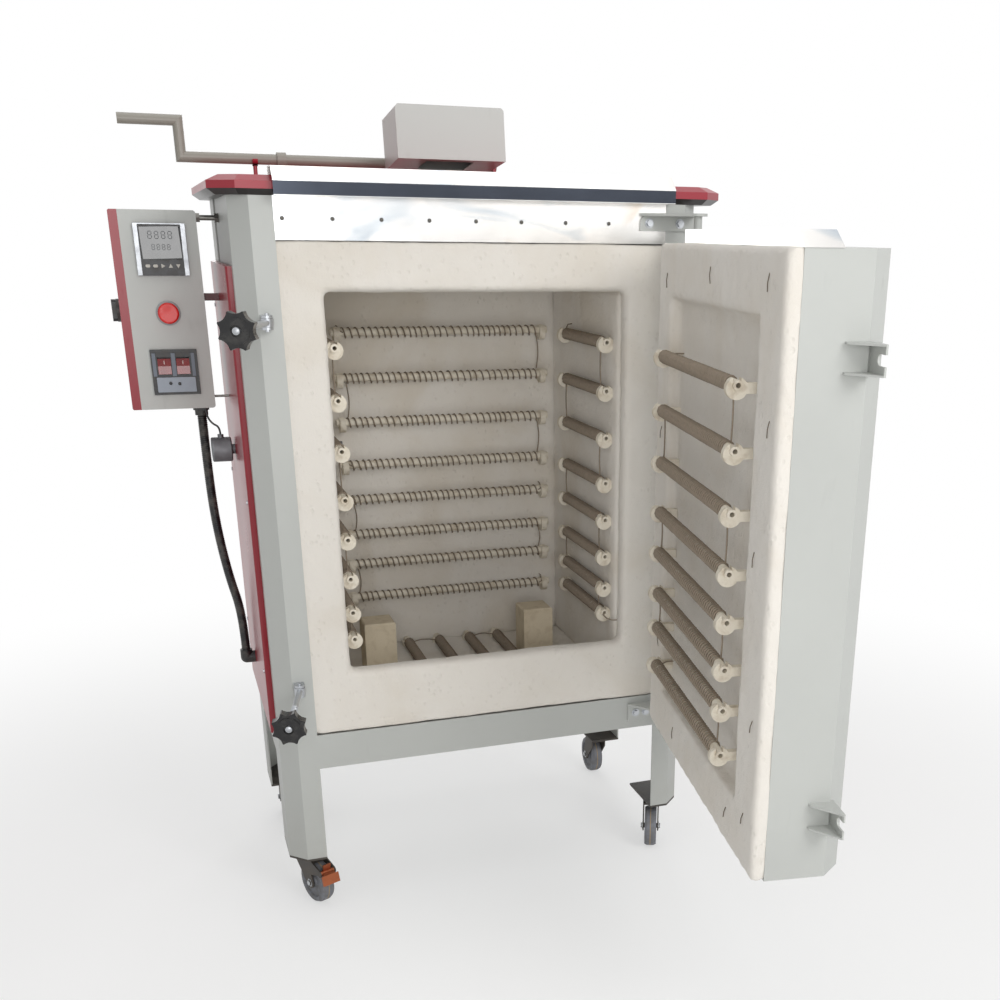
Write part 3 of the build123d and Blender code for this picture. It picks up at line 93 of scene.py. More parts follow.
# Lamps: name, place, point they look at, width and height, watts.
LAMPS = (
    ("key_lamp", (1.5, -3.1, 2.7), (0.1, 0.2, 0.8), (1.8, 1.6), 56),
    ("fill_lamp", (-0.6, -2.9, 1.5), (0.1, 0.2, 0.8), (1.2, 1.2), 24),
    ("top_lamp", (0.0, 0.2, 3.6), (0.0, 0.3, 0.8), (2.6, 2.6), 24),
    ("back_lamp", (0.6, 3.2, 2.4), (0.0, 0.3, 0.8), (2.0, 1.6), 24),
)
AMBIENT = 0.36
STAGE_REACH = 30

UP = Vector((0, 0, 1))
FRONT = Vector((0, -1, 0))


def cab(x, y, z):
    """Row-frame point from cabinet metres: across, back from the collar, up."""
    return CABINET + Vector((x, y, z))


def door(along, out, z):
    """Row-frame point from door metres: from the hinge axis, outwards, up."""
    across = Vector((-cos(DOOR_OPEN), -sin(DOOR_OPEN), 0))
    outward = Vector((sin(DOOR_OPEN), -cos(DOOR_OPEN), 0))
    return CABINET + HINGE + across * along + outward * out + UP * z


DOOR_ALONG = (door(1, 0, 0) - door(0, 0, 0)).normalized()
DOOR_OUT = (door(0, 1, 0) - door(0, 0, 0)).normalized()


def tint(code):
    """Linear colour from a six-digit hex code."""
    parts = [int(code[i:i + 2], 16) / 255 for i in (0, 2, 4)]
    return tuple(((c + 0.055) / 1.055) ** 2.4 if c > 0.04045 else c / 12.92 for c in parts)


class KilnColours(bpy.types.PropertyGroup):
    """Colours of the kiln's finishes."""

    def swatch(name, description, code):
        kind = {"subtype": "COLOR", "size": 3, "min": 0, "max": 1}
        return bpy.props.FloatVectorProperty(name=name, description=description, default=tint(code), **kind)

    grey: swatch("Cabinet grey", "Powder coat of the posts, rails, door and box", "bbbdb9")
    maroon: swatch("Cabinet red", "Gloss coat of the side covers and the box lid", "8e1022")
    roof: swatch("Roof red", "Gloss coat of the roof pan", "9a1a2c")
    steel: swatch("Polished steel", "Sheet of the shield, hood and door cap", "e4e2df")
    fibre: swatch("Ceramic fibre", "Face of the insulating blanket", "e6e1d9")
    fired: swatch("Fired fibre", "Warm stain of fibre that has been heated", "d3c8b6")
    wire: swatch("Element wire", "Oxidised heating wire", "8d8072")
    ceramic: swatch("Element ceramic", "Tubes and hooks that carry the wire", "ebe4d6")
    wheel: swatch("Castor wheel", "Hard tread of the castors", "74767d")
    copper: swatch("Brake pedal", "Copper-coloured pedal", "b0694a")


class KilnSizes(bpy.types.PropertyGroup):
    """Sizes of the fine parts that the scene makes."""

    def length(name, description, metres):
        span = {"min": 0.0001, "max": 0.1, "unit": "LENGTH", "precision": 5}
        return bpy.props.FloatProperty(name=name, description=description, default=metres, **span)

    wire: length("Back wire radius", "Radius of the heating wire on the back wall", 0.0017)
    close_wire: length("Close wire radius", "Radius of the wire on the sides, floor and door", 0.0020)
    winding: length("Winding radius", "Radius of the turns, measured to the wire's middle", 0.0107)
    back_pitch: length("Back pitch", "Distance between turns on the back wall", 0.0142)
    side_pitch: length("Side pitch", "Distance between turns on the side walls and floor", 0.0078)
    door_pitch: length("Door pitch", "Distance between turns on the door", 0.0098)
    lead: length("Lead wire radius", "Radius of the wire that joins two rows", 0.0014)
    fibre_cell: length("Fibre grain", "Edge of the blanket's mesh squares", 0.0065)
    fibre_ruffle: length("Fibre ruffle", "How far the blanket's face wanders", 0.0023)
    rib_pitch: length("Conduit rib pitch", "Distance between the conduit's ribs", 0.0042)
    rib_depth: length("Conduit rib depth", "Depth of the conduit's grooves", 0.0012)


def colours():
    return bpy.context.scene.kiln_colours


def sizes():
    return bpy.context.scene.kiln_sizes


def darker(colour, share):
    return tuple(c * share for c in colour)


class Value:
    """One node output, so that shader maths is written as arithmetic."""

    def __init__(self, finish, socket):
        self.finish = finish
        self.socket = socket

    def maths(self, operation, *values):
        return self.finish.add("ShaderNodeMath", {"operation": operation}, dict(enumerate(values)))

    def __add__(self, other):
        return self.maths("ADD", self, other)

    def __radd__(self, other):
        return self.maths("ADD", other, self)

    def __sub__(self, other):
        return self.maths("SUBTRACT", self, other)

    def __rsub__(self, other):
        return self.maths("SUBTRACT", other, self)

    def __mul__(self, other):
        return self.maths("MULTIPLY", self, other)

    def __rmul__(self, other):
        return self.maths("MULTIPLY", other, self)

    def above(self, edge, soft):
        """1 where the value is over an edge, with a soft step."""
        sockets = {"Value": self, "From Min": edge - soft, "From Max": edge + soft}
        return self.finish.add("ShaderNodeMapRange", {"interpolation_type": "SMOOTHSTEP"}, sockets)

    def below(self, edge, soft):
        return 1 - self.above(edge, soft)


class Tree:
    """Adds nodes to one shader tree."""

    def __init__(self, tree):
        self.tree = tree

    def add(self, kind, settings=None, sockets=None, output=0):
        """A node with its settings made first and its sockets fed with values or links."""
        node = self.tree.nodes.new(kind)
        for name, value in (settings or {}).items():
            if name == "stops":
                ramp = node.color_ramp
                while len(ramp.elements) < len(value):
                    ramp.elements.new(0.5)
                for element, (place, colour) in zip(ramp.elements, value):
                    element.position = place
                    element.color = (*colour, 1)
            else:
                setattr(node, name, value)
        for name, value in (sockets or {}).items():
            self.feed(node.inputs[name], value)
        return Value(self, node.outputs[output])

    def background_rays(self):
        """1 for the rays that see the backdrop rather than light the kiln."""
        kinds = ("Camera", "Glossy", "Transmission")
        camera, glossy, through = [self.add("ShaderNodeLightPath", output=f"Is {kind} Ray") for kind in kinds]
        return camera + glossy + through

    def feed(self, socket, value):
        if isinstance(value, Value):
            self.tree.links.new(value.socket, socket)
        elif hasattr(value, "__len__") and len(value) == 3 and socket.type == "RGBA":
            socket.default_value = (*value, 1)
        else:
            socket.default_value = value


class Finish(Tree):
    """Builds one procedural material round its Principled shader."""

    def __init__(self, name, **constants):
        self.material = bpy.data.materials.new(name)
        self.material.use_nodes = True
        super().__init__(self.material.node_tree)
        self.shader = self.tree.nodes["Principled BSDF"]
        for socket, value in constants.items():
            self.shader.inputs[socket.replace("_", " ")].default_value = value
        self.where = None

    def place(self, stretch=(1, 1, 1)):
        """Object coordinates in metres, stretched where a grain runs one way."""
        if self.where is None:
            self.where = self.add("ShaderNodeTexCoord", output="Object")
        if stretch == (1, 1, 1):
            return self.where
        return self.add("ShaderNodeVectorMath", {"operation": "MULTIPLY"}, {0: self.where, 1: stretch})

    def axis(self, name):
        return self.add("ShaderNodeSeparateXYZ", sockets={0: self.place()}, output=name)

    def tilt(self, name):
        """One axis of the surface's direction."""
        normal = self.add("ShaderNodeNewGeometry", output="Normal")
        return self.add("ShaderNodeSeparateXYZ", sockets={0: normal}, output=name)

    def noise(self, scale, detail=3.0, stretch=(1, 1, 1), twist=0.0, grain=0.5):
        """Soft noise whose features are about 1/scale metres wide."""
        sockets = {"Vector": self.place(stretch), "Scale": scale, "Detail": detail}
        sockets.update({"Distortion": twist, "Roughness": grain})
        return self.add("ShaderNodeTexNoise", sockets=sockets)

    def cells(self, scale, stretch=(1, 1, 1)):
        """Distance to the middle of the nearest of many small cells."""
        sockets = {"Vector": self.place(stretch), "Scale": scale}
        return self.add("ShaderNodeTexVoronoi", sockets=sockets)

    def mix(self, factor, first, second):
        """Colour between two colours."""
        return self.add("ShaderNodeMix", {"data_type": "RGBA"}, {0: factor, 6: first, 7: second}, output=2)

    def band(self, low, high, soft=0.001):
        """1 between two heights."""
        height = self.axis("Z")
        return height.above(low, soft) * height.below(high, soft)

    def bump(self, height, distance, strength=1.0):
        sockets = {"Height": height, "Distance": distance, "Strength": strength}
        self.feed(self.shader.inputs["Normal"], self.add("ShaderNodeBump", sockets=sockets))

    def colour(self, value):
        self.feed(self.shader.inputs["Base Color"], value)

    def roughness(self, value):
        self.feed(self.shader.inputs["Roughness"], value)

    def metal(self, value):
        self.feed(self.shader.inputs["Metallic"], value)


def powder_coat(name, colour, gloss=0.36, peel=0.00006, dust=0.35, painted_underside_shade=False):
    """Baked powder coat: orange peel, faint cloudiness, low dust, scuffs and, when asked, painted shade on
    the faces that look down.
    """
    finish = Finish(name, Specular_IOR_Level=0.5)
    cloud = finish.noise(3.2, 4.0)
    scuff = finish.noise(38, 6.0, (1, 1, 0.25), twist=0.6).above(0.70, 0.05)
    low = finish.axis("Z").below(0.18, 0.16) * finish.noise(24, 5.0)
    light = tuple(min(1, c * 1.06) for c in colour)
    base = finish.mix(cloud, darker(colour, 0.90), light)
    base = finish.mix(low * dust, base, tint("7a6f62"))
    base = finish.mix(scuff * 0.12, base, darker(colour, 0.72))
    if painted_underside_shade:
        # Painted shade: faces that look down are painted near black, standing in for the shadow under the
        # roof's lip.
        base = finish.mix(finish.tilt("Z").below(-0.6, 0.2), base, tint("170d0e"))
    finish.colour(base)
    finish.roughness(gloss + 0.10 * cloud + 0.18 * scuff + 0.2 * low)
    finish.bump(finish.noise(620, 2.0) + 0.35 * finish.noise(95, 2.0), peel)
    return finish.material


def steel_sheet(name, colour, warm=1.0, reflection_band=None):
    """Polished sheet: rolling marks, slow waves, a heat stain to the right and, inside a given height band, a
    painted dark reflection on the faces that look to the front.
    """
    finish = Finish(name, Metallic=1.0)
    rolled = finish.noise(900, 2.0, (0.02, 1, 1))
    wave = finish.noise(3.4, 1.5, (1, 1, 1.4), twist=0.9)
    drift = finish.noise(3.6, 2.0, (1, 1, 2.0), twist=1.6)
    stain = 0.55 * drift + 0.22 + 0.16 * (finish.axis("X") * warm)
    stops = [(0.34, tint("9fb0bf")), (0.46, colour), (0.58, colour), (0.72, tint("d2b999"))]
    swirl = finish.add("ShaderNodeValToRGB", {"stops": stops}, {0: stain})
    sheet = finish.mix(rolled * 0.25, swirl, darker(colour, 0.8))
    if reflection_band:
        # Painted reflection: front faces inside the band are painted dark slate, standing in for the dark
        # room seen in the polished strip.
        front = finish.tilt("Y").below(-0.9, 0.05)
        sheet = finish.mix(finish.band(*reflection_band, 0.0004) * front, sheet, tint("3c4048"))
    finish.colour(sheet)
    finish.roughness(0.16 + 0.09 * rolled + 0.06 * finish.noise(30, 4.0))
    finish.bump(wave + 0.004 * rolled, 0.004, 0.45)
    return finish.material


def zinc_plate(name, colour, rough=0.28):
    """Bright zinc with fine turning marks and dull patches."""
    finish = Finish(name, Metallic=1.0)
    patch = finish.noise(55, 5.0)
    finish.colour(finish.mix(patch, colour, darker(colour, 0.66)))
    finish.roughness(rough + 0.25 * patch)
    finish.bump(finish.noise(1300, 3.0), 0.00005)
    return finish.material


def fibre_blanket(name, fresh, fired, warm=0.35):
    """Needled ceramic fibre: fine wool, a faint diamond of needling and a warm stain."""
    finish = Finish(name, Specular_IOR_Level=0.15, Sheen_Weight=0.25, Sheen_Roughness=0.6)
    wool = finish.noise(420, 6.0, grain=0.7)
    lump = finish.noise(26, 5.0, twist=0.4)
    stain = finish.noise(5, 4.0, twist=0.8).above(0.55, 0.16)
    pick = finish.cells(82, (1, 1, 0.72)).below(0.22, 0.10) * finish.noise(14, 3.0).above(0.5, 0.2)
    base = finish.mix(stain * warm, fresh, fired)
    base = finish.mix(pick * 0.10, base, darker(fired, 0.72))
    finish.colour(finish.mix(wool * 0.14, base, darker(fresh, 0.82)))
    finish.roughness(0.88 + 0.1 * wool)
    finish.bump(0.5 * wool + 1.8 * lump - 0.5 * pick, 0.0017, 1.0)
    return finish.material


def fired_ceramic(name, colour, chips=0.4):
    """Bisque ceramic: fine pores, patchy grime and a brown bloom from the wire."""
    finish = Finish(name, Specular_IOR_Level=0.3)
    pores = finish.cells(900).below(0.22, 0.1)
    bloom = finish.noise(45, 4.0, twist=0.5).above(0.58, 0.12)
    grime = finish.noise(14, 4.0)
    base = finish.mix(bloom * chips, colour, tint("a08a68"))
    base = finish.mix(grime * 0.25, base, tint("c3b698"))
    finish.colour(finish.mix(pores * 0.3, base, darker(colour, 0.55)))
    finish.roughness(0.62 + 0.25 * grime)
    finish.bump(finish.noise(300, 5.0) - 0.5 * pores, 0.0004)
    return finish.material


def oxidised_wire(name, colour, pale=0.4):
    """Resistance wire with the matt brown-grey scale of firing."""
    finish = Finish(name, Metallic=0.55)
    scale = finish.noise(210, 5.0)
    patch = finish.noise(11, 3.0)
    base = finish.mix(scale, darker(colour, 0.6), tuple(min(1, c * 1.5) for c in colour))
    finish.colour(finish.mix(patch * pale, base, tint("8c8373")))
    finish.roughness(0.48 + 0.3 * scale)
    finish.bump(scale, 0.00012)
    return finish.material


def moulded(name, colour, gloss=0.3, grain=0.00005, dust=0.18):
    """Moulded plastic or rubber with spark grain, a little dust and handling shine."""
    finish = Finish(name, Specular_IOR_Level=0.5)
    spark = finish.noise(1500, 3.0)
    settled = finish.noise(60, 5.0).above(0.55, 0.15)
    finish.colour(finish.mix(settled * dust, colour, tint("8d8980")))
    finish.roughness(gloss + 0.15 * settled + 0.1 * spark)
    finish.bump(spark, grain)
    return finish.material


def castor_tread(name, colour):
    """Hard tread with street dirt."""
    finish = Finish(name)
    dirt = finish.noise(90, 5.0).above(0.5, 0.15)
    finish.colour(finish.mix(dirt * 0.5, colour, tint("6d6a66")))
    finish.roughness(0.5 + 0.2 * dirt)
    finish.bump(finish.noise(700, 4.0), 0.00025)
    return finish.material


def painted_glow_red(name, colour, glow):
    """Red translucent rocker with a painted glow: a weak emission, in random patches, stands in for the
    highlights on its curved face.
    """
    finish = Finish(name, Emission_Strength=glow, Coat_Weight=0.4)
    lamp = finish.noise(70, 2.0)
    deep = finish.mix(lamp, darker(colour, 0.45), colour)
    finish.colour(deep)
    # Painted glow: the patchy colour also feeds the emission, so the rocker shines though it holds no lamp.
    finish.feed(finish.shader.inputs["Emission Color"], deep)
    finish.roughness(0.22 + 0.1 * finish.noise(400, 2.0))
    return finish.material


def display_glass(name):
    """Smoked display window with a faint smear."""
    finish = Finish(name, Coat_Weight=0.6, Coat_Roughness=0.08)
    smear = finish.noise(40, 5.0, twist=1.0)
    finish.colour(finish.mix(smear, tint("0b0d0f"), tint("15181c")))
    finish.roughness(0.08 + 0.16 * smear)
    return finish.material


class Maker:
    """Gathers the vertices and faces of one piece."""

    def __init__(self):
        self.points = []
        self.faces = []

    def add(self, points, faces):
        start = len(self.points)
        self.points.extend(points)
        self.faces.extend([tuple(start + i for i in face) for face in faces])

    def rings(self, rings):
        """Skin over rings of equal count, closed at both ends."""
        count = len(rings[0])
        points = [point for ring in rings for point in ring]
        faces = []
        for r in range(len(rings) - 1):
            for i in range(count):
                j = (i + 1) % count
                faces.append((r * count + i, r * count + j, (r + 1) * count + j, (r + 1) * count + i))
        faces.append(tuple(reversed(range(count))))
        faces.append(tuple((len(rings) - 1) * count + i for i in range(count)))
        self.add(points, faces)

    def wire(self, line, radius, sides=6):
        """Round wire of one radius, or one per point, along a line of points."""
        line = [Vector(point) for point in line]
        radii = radius if hasattr(radius, "__len__") else [radius] * len(line)
        heading = (line[1] - line[0]).normalized()
        side = heading.orthogonal().normalized()
        rings = []
        for i, point in enumerate(line):
            ahead = line[min(i + 1, len(line) - 1)] - line[max(i - 1, 0)]
            ahead.normalize()
            side = (side - ahead * side.dot(ahead)).normalized()
            other = ahead.cross(side)
            ring = []
            for k in range(sides):
                turn = 2 * pi * k / sides
                ring.append(point + (side * cos(turn) + other * sin(turn)) * radii[i])
            rings.append(ring)
        self.rings(rings)

    def turned(self, place, profile, steps=20):
        """Shape turned about a place's z axis from (radius, height) pairs."""
        rings = []
        for radius, height in profile:
            ring = []
            for k in range(steps):
                turn = 2 * pi * k / steps
                ring.append(place @ Vector((radius * cos(turn), radius * sin(turn), height)))
            rings.append(ring)
        self.rings(rings)

    def block(self, place, size, round_off=0.0):
        """Block with eased upright edges, standing on a place's plane."""
        x, y, z = size[0] / 2, size[1] / 2, size[2]
        r = min(round_off, x, y)
        if r <= 0:
            corners = [(-x, -y), (x, -y), (x, y), (-x, y)]
        else:
            corners = []
            centres = ((x - r, y - r, 0), (r - x, y - r, 90), (r - x, r - y, 180), (x - r, r - y, 270))
            for cx, cy, start in centres:
                for step in range(4):
                    turn = radians(start + 30 * step)
                    corners.append((cx + r * cos(turn), cy + r * sin(turn)))
        lift = min(0.0004, z * 0.25)
        inset = 1 - 2 * lift / max(size[0], size[1])
        rings = []
        for height, shrink in ((0, 1), (z - lift, 1), (z, inset)):
            rings.append([place @ Vector((cx * shrink, cy * shrink, height)) for cx, cy in corners])
        self.rings(rings)

    def make(self, name, material, slot, body="cabinet", crease=40):
        """The finished object, riding on its body."""
        mesh = bpy.data.meshes.new(name)
        mesh.from_pydata([tuple(point) for point in self.points], [], self.faces)
        mesh.update()
        mesh.shade_smooth()
        mesh.set_sharp_from_angle(angle=radians(crease))
        mesh.materials.append(material)
        piece = bpy.data.objects.new(name, mesh)
        bpy.context.scene.collection.objects.link(piece)
        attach(piece, body)
        return piece


def facing(point, direction, upward=UP):
    """Placement whose z axis looks along a direction."""
    z = Vector(direction).normalized()
    x = upward.cross(z)
    if x.length < 1e-6:
        x = Vector((1, 0, 0))
    x.normalize()
    y = z.cross(x)
    matrix = Matrix((x, y, z)).transposed().to_4x4()
    matrix.translation = point
    return matrix


def coat(material, *nodes):
    """Gives carried-over CAD nodes their material."""
    for name in nodes:
        for holder in frame["nodes"][name].material_slots:
            holder.material = material


def pan_head(maker, point, direction, radius=0.004, height=0.0024):
    """Domed screw head."""
    place = facing(point, direction)
    r, h = radius, height
    maker.turned(place, [(r, 0), (r, h * 0.35), (r * 0.86, h * 0.75), (r * 0.5, h), (0.0003, h)], 16)


def helix(start, end, radius, pitch, hang, rng, loose=0.0, per_turn=10):
    """Points of a winding whose pitch wanders and whose turns hang a little."""
    start, end = Vector(start), Vector(end)
    ahead = (end - start).normalized()
    across = UP.cross(ahead)
    if across.length < 1e-6:
        across = Vector((1, 0, 0))
    across.normalize()
    upward = ahead.cross(across)
    length = (end - start).length
    turns = max(2, round(length / pitch))
    steps = [1 + loose * rng.uniform(-1, 1) for _ in range(turns)]
    total = sum(steps)
    points = []
    travelled = 0.0
    for step in steps:
        wobble = 1 + 0.02 * rng.uniform(-1, 1)
        for k in range(per_turn):
            turn = 2 * pi * k / per_turn
            along = (travelled + step * k / per_turn) / total * length
            out = across * cos(turn) * radius * wobble + upward * sin(turn) * radius * wobble
            points.append(start + ahead * along + out - UP * hang)
        travelled += step
    return points


class KILN_OT_coat_cabinet(bpy.types.Operator):
    """Powder coats on the posts, rails, panels, door, covers, roof pan and box"""

    bl_idname = "kiln.coat_cabinet"
    bl_label = "Coat the cabinet"

    def execute(self, context):
        grey = powder_coat("kiln_grey_coat", colours().grey)
        nodes = [f"post_{corner}" for corner in CORNERS]
        nodes += ["frame_rails", "body_panels", "door_shell", "latch_forks", "hinge_brackets"]
        nodes += ["controller_box", "vent_cap"]
        coat(grey, *nodes)
        maroon = powder_coat("kiln_maroon_coat", colours().maroon, 0.24, 0.00004, 0.5)
        coat(maroon, "side_covers", "controller_lid")
        # The roof pan takes painted shade on its downward faces, under its lip.
        coat(powder_coat("kiln_roof_coat", colours().roof, 0.26, 0.00004, 0.2, True), "roof_pan")
        coat(powder_coat("lever_grey_coat", tint("8f8b82"), 0.3), "vent_lever")
        black = powder_coat("castor_black_coat", tint("1c1d20"), 0.42, 0.00005, 0.6)
        coat(black, "foot_plates", *[f"castor_fork_{corner}" for corner in CORNERS])
        return {"FINISHED"}


class KILN_OT_polish_metal(bpy.types.Operator):
    """Polished shield, hood and door cap, and the zinc and stainless fittings"""

    bl_idname = "kiln.polish_metal"
    bl_label = "Polish the metal"

    def execute(self, context):
        coat(steel_sheet("polished_shield", colours().steel), "heat_shield")
        # The hood's front strip, 1.435 to 1.4575 m up, takes a painted dark reflection.
        coat(steel_sheet("polished_hood", colours().steel, 0.4, (1.435, 1.4575)), "roof_hood")
        coat(steel_sheet("polished_cap", colours().steel, 0.0), "door_cap")
        zinc = zinc_plate("bright_zinc", tint("c9ccd0"))
        coat(zinc, "latch_ears", "front_fasteners", "swing_bolt_upper", "swing_bolt_lower")
        arms = Finish("box_arm_steel")
        painted = arms.band(1.236, 1.262)
        dull = arms.noise(60, 4.0)
        arms.colour(arms.mix(painted, arms.mix(dull, tint("4a4743"), tint("a9a7a2")), tint("4d0c16")))
        arms.metal(0.9 - 0.9 * painted)
        arms.roughness(0.3 + 0.2 * dull)
        coat(arms.material, "box_arms")
        coat(zinc_plate("sleeve_stainless", tint("a39c97"), 0.34), "vent_sleeve")
        coat(zinc_plate("cast_head", tint("8a8c8f"), 0.5), "thermocouple")
        coat(zinc_plate("pedal_copper", colours().copper, 0.34), "brake_pedal")
        return {"FINISHED"}


class KILN_OT_lay_fibre(bpy.types.Operator):
    """Soft-edged fibre linings of the chamber, collar and door"""

    bl_idname = "kiln.lay_fibre"
    bl_label = "Lay the fibre"

    PINS = (
        (0.108, 1.30), (0.70, 1.318), (0.735, 1.12), (0.09, 1.02), (0.70, 0.92), (0.735, 0.66),
        (0.11, 0.60), (0.40, 1.318), (0.62, 0.455), (0.25, 0.45), (0.715, 0.49), (0.10, 0.78),
    )

    def inside(self):
        """Lowest and highest corners of the chamber's walls, drawn in a little."""
        corners = [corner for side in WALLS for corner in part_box(f"lining_{side}")]
        low = [min(corner[i] for corner in corners) + HELD_BACK for i in range(3)]
        high = [max(corner[i] for corner in corners) - HELD_BACK for i in range(3)]
        return low, high

    def blanket(self, node, material, body, cell, ruffle, seed, swell=0.0):
        """Blanket with eased edges and a wandering face, made from a lining's own form."""
        source = frame["nodes"][node]
        piece = bpy.data.objects.new(f"{node}_blanket", source.data.copy())
        bpy.context.scene.collection.objects.link(piece)
        grid = piece.modifiers.new("grid", "REMESH")
        grid.mode = "VOXEL"
        grid.voxel_size = cell
        grid.use_smooth_shade = True
        ease = piece.modifiers.new("ease", "SMOOTH")
        ease.iterations = 2
        ease.factor = 0.5
        evaluated = piece.evaluated_get(bpy.context.evaluated_depsgraph_get())
        mesh = bpy.data.meshes.new_from_object(evaluated)
        piece.modifiers.clear()
        piece.data = mesh
        drift = Vector((seed * 3.7, seed * 1.3, seed * 2.1))
        moved = []
        for vertex in mesh.vertices:
            far = noise.noise(vertex.co * 9 + drift)
            near = noise.noise(vertex.co * 46 + drift)
            lift = swell + ruffle * (0.8 * far + 0.45 * near - 0.25)
            moved.append(vertex.co + vertex.normal * lift)
        if swell:
            low, high = self.inside()
            moved = [Vector([min(max(place[i], low[i]), high[i]) for i in range(3)]) for place in moved]
        for vertex, place in zip(mesh.vertices, moved):
            vertex.co = place
        mesh.materials.clear()
        mesh.materials.append(material)
        mesh.update()
        mesh.shade_smooth()
        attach(piece, body)
        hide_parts(node)

    def pin_door(self):
        """Short wire pins that hold the door's blanket, each leaning its own way."""
        rng = random.Random(5)
        pins = Maker()
        for along, z in self.PINS:
            lean = rng.uniform(-0.5, 0.5)
            reach = UP * cos(lean) * 0.013 + DOOR_ALONG * sin(lean) * 0.013
            middle = door(along, -0.0845, z)
            pins.wire([middle - reach, middle - DOOR_OUT * 0.0012, middle + reach], 0.0008, 5)
        pins.make("door_fibre_pins", oxidised_wire("pin_wire", tint("574a3b")), "element_wire", "door")

    def execute(self, context):
        fresh = fibre_blanket("collar_fibre", colours().fibre, colours().fired)
        walls = fibre_blanket("chamber_fibre", colours().fibre, colours().fired, 0.55)
        cell, ruffle = sizes().fibre_cell, sizes().fibre_ruffle
        self.blanket("lining_collar", fresh, "cabinet", cell, ruffle, 1)
        self.blanket("door_lining", fresh, "door", cell, ruffle, 2)
        for seed, side in enumerate(WALLS, 3):
            self.blanket(f"lining_{side}", walls, "cabinet", 1.4 * cell, 0.8 * ruffle, seed, 0.0032)
        self.pin_door()
        return {"FINISHED"}


class KILN_OT_fit_ceramics(bpy.types.Operator):
    """Bisque finish on the element tubes, hooks and the two props"""

    bl_idname = "kiln.fit_ceramics"
    bl_label = "Fit the ceramics"

    def execute(self, context):
        bisque = fired_ceramic("element_bisque", colours().ceramic)
        coat(bisque, "ceramics_back", "ceramics_sides", "ceramics_door", "tubes_floor")
        coat(fired_ceramic("prop_fire_brick", tint("ddd0b8"), 0.25), "kiln_props")
        return {"FINISHED"}


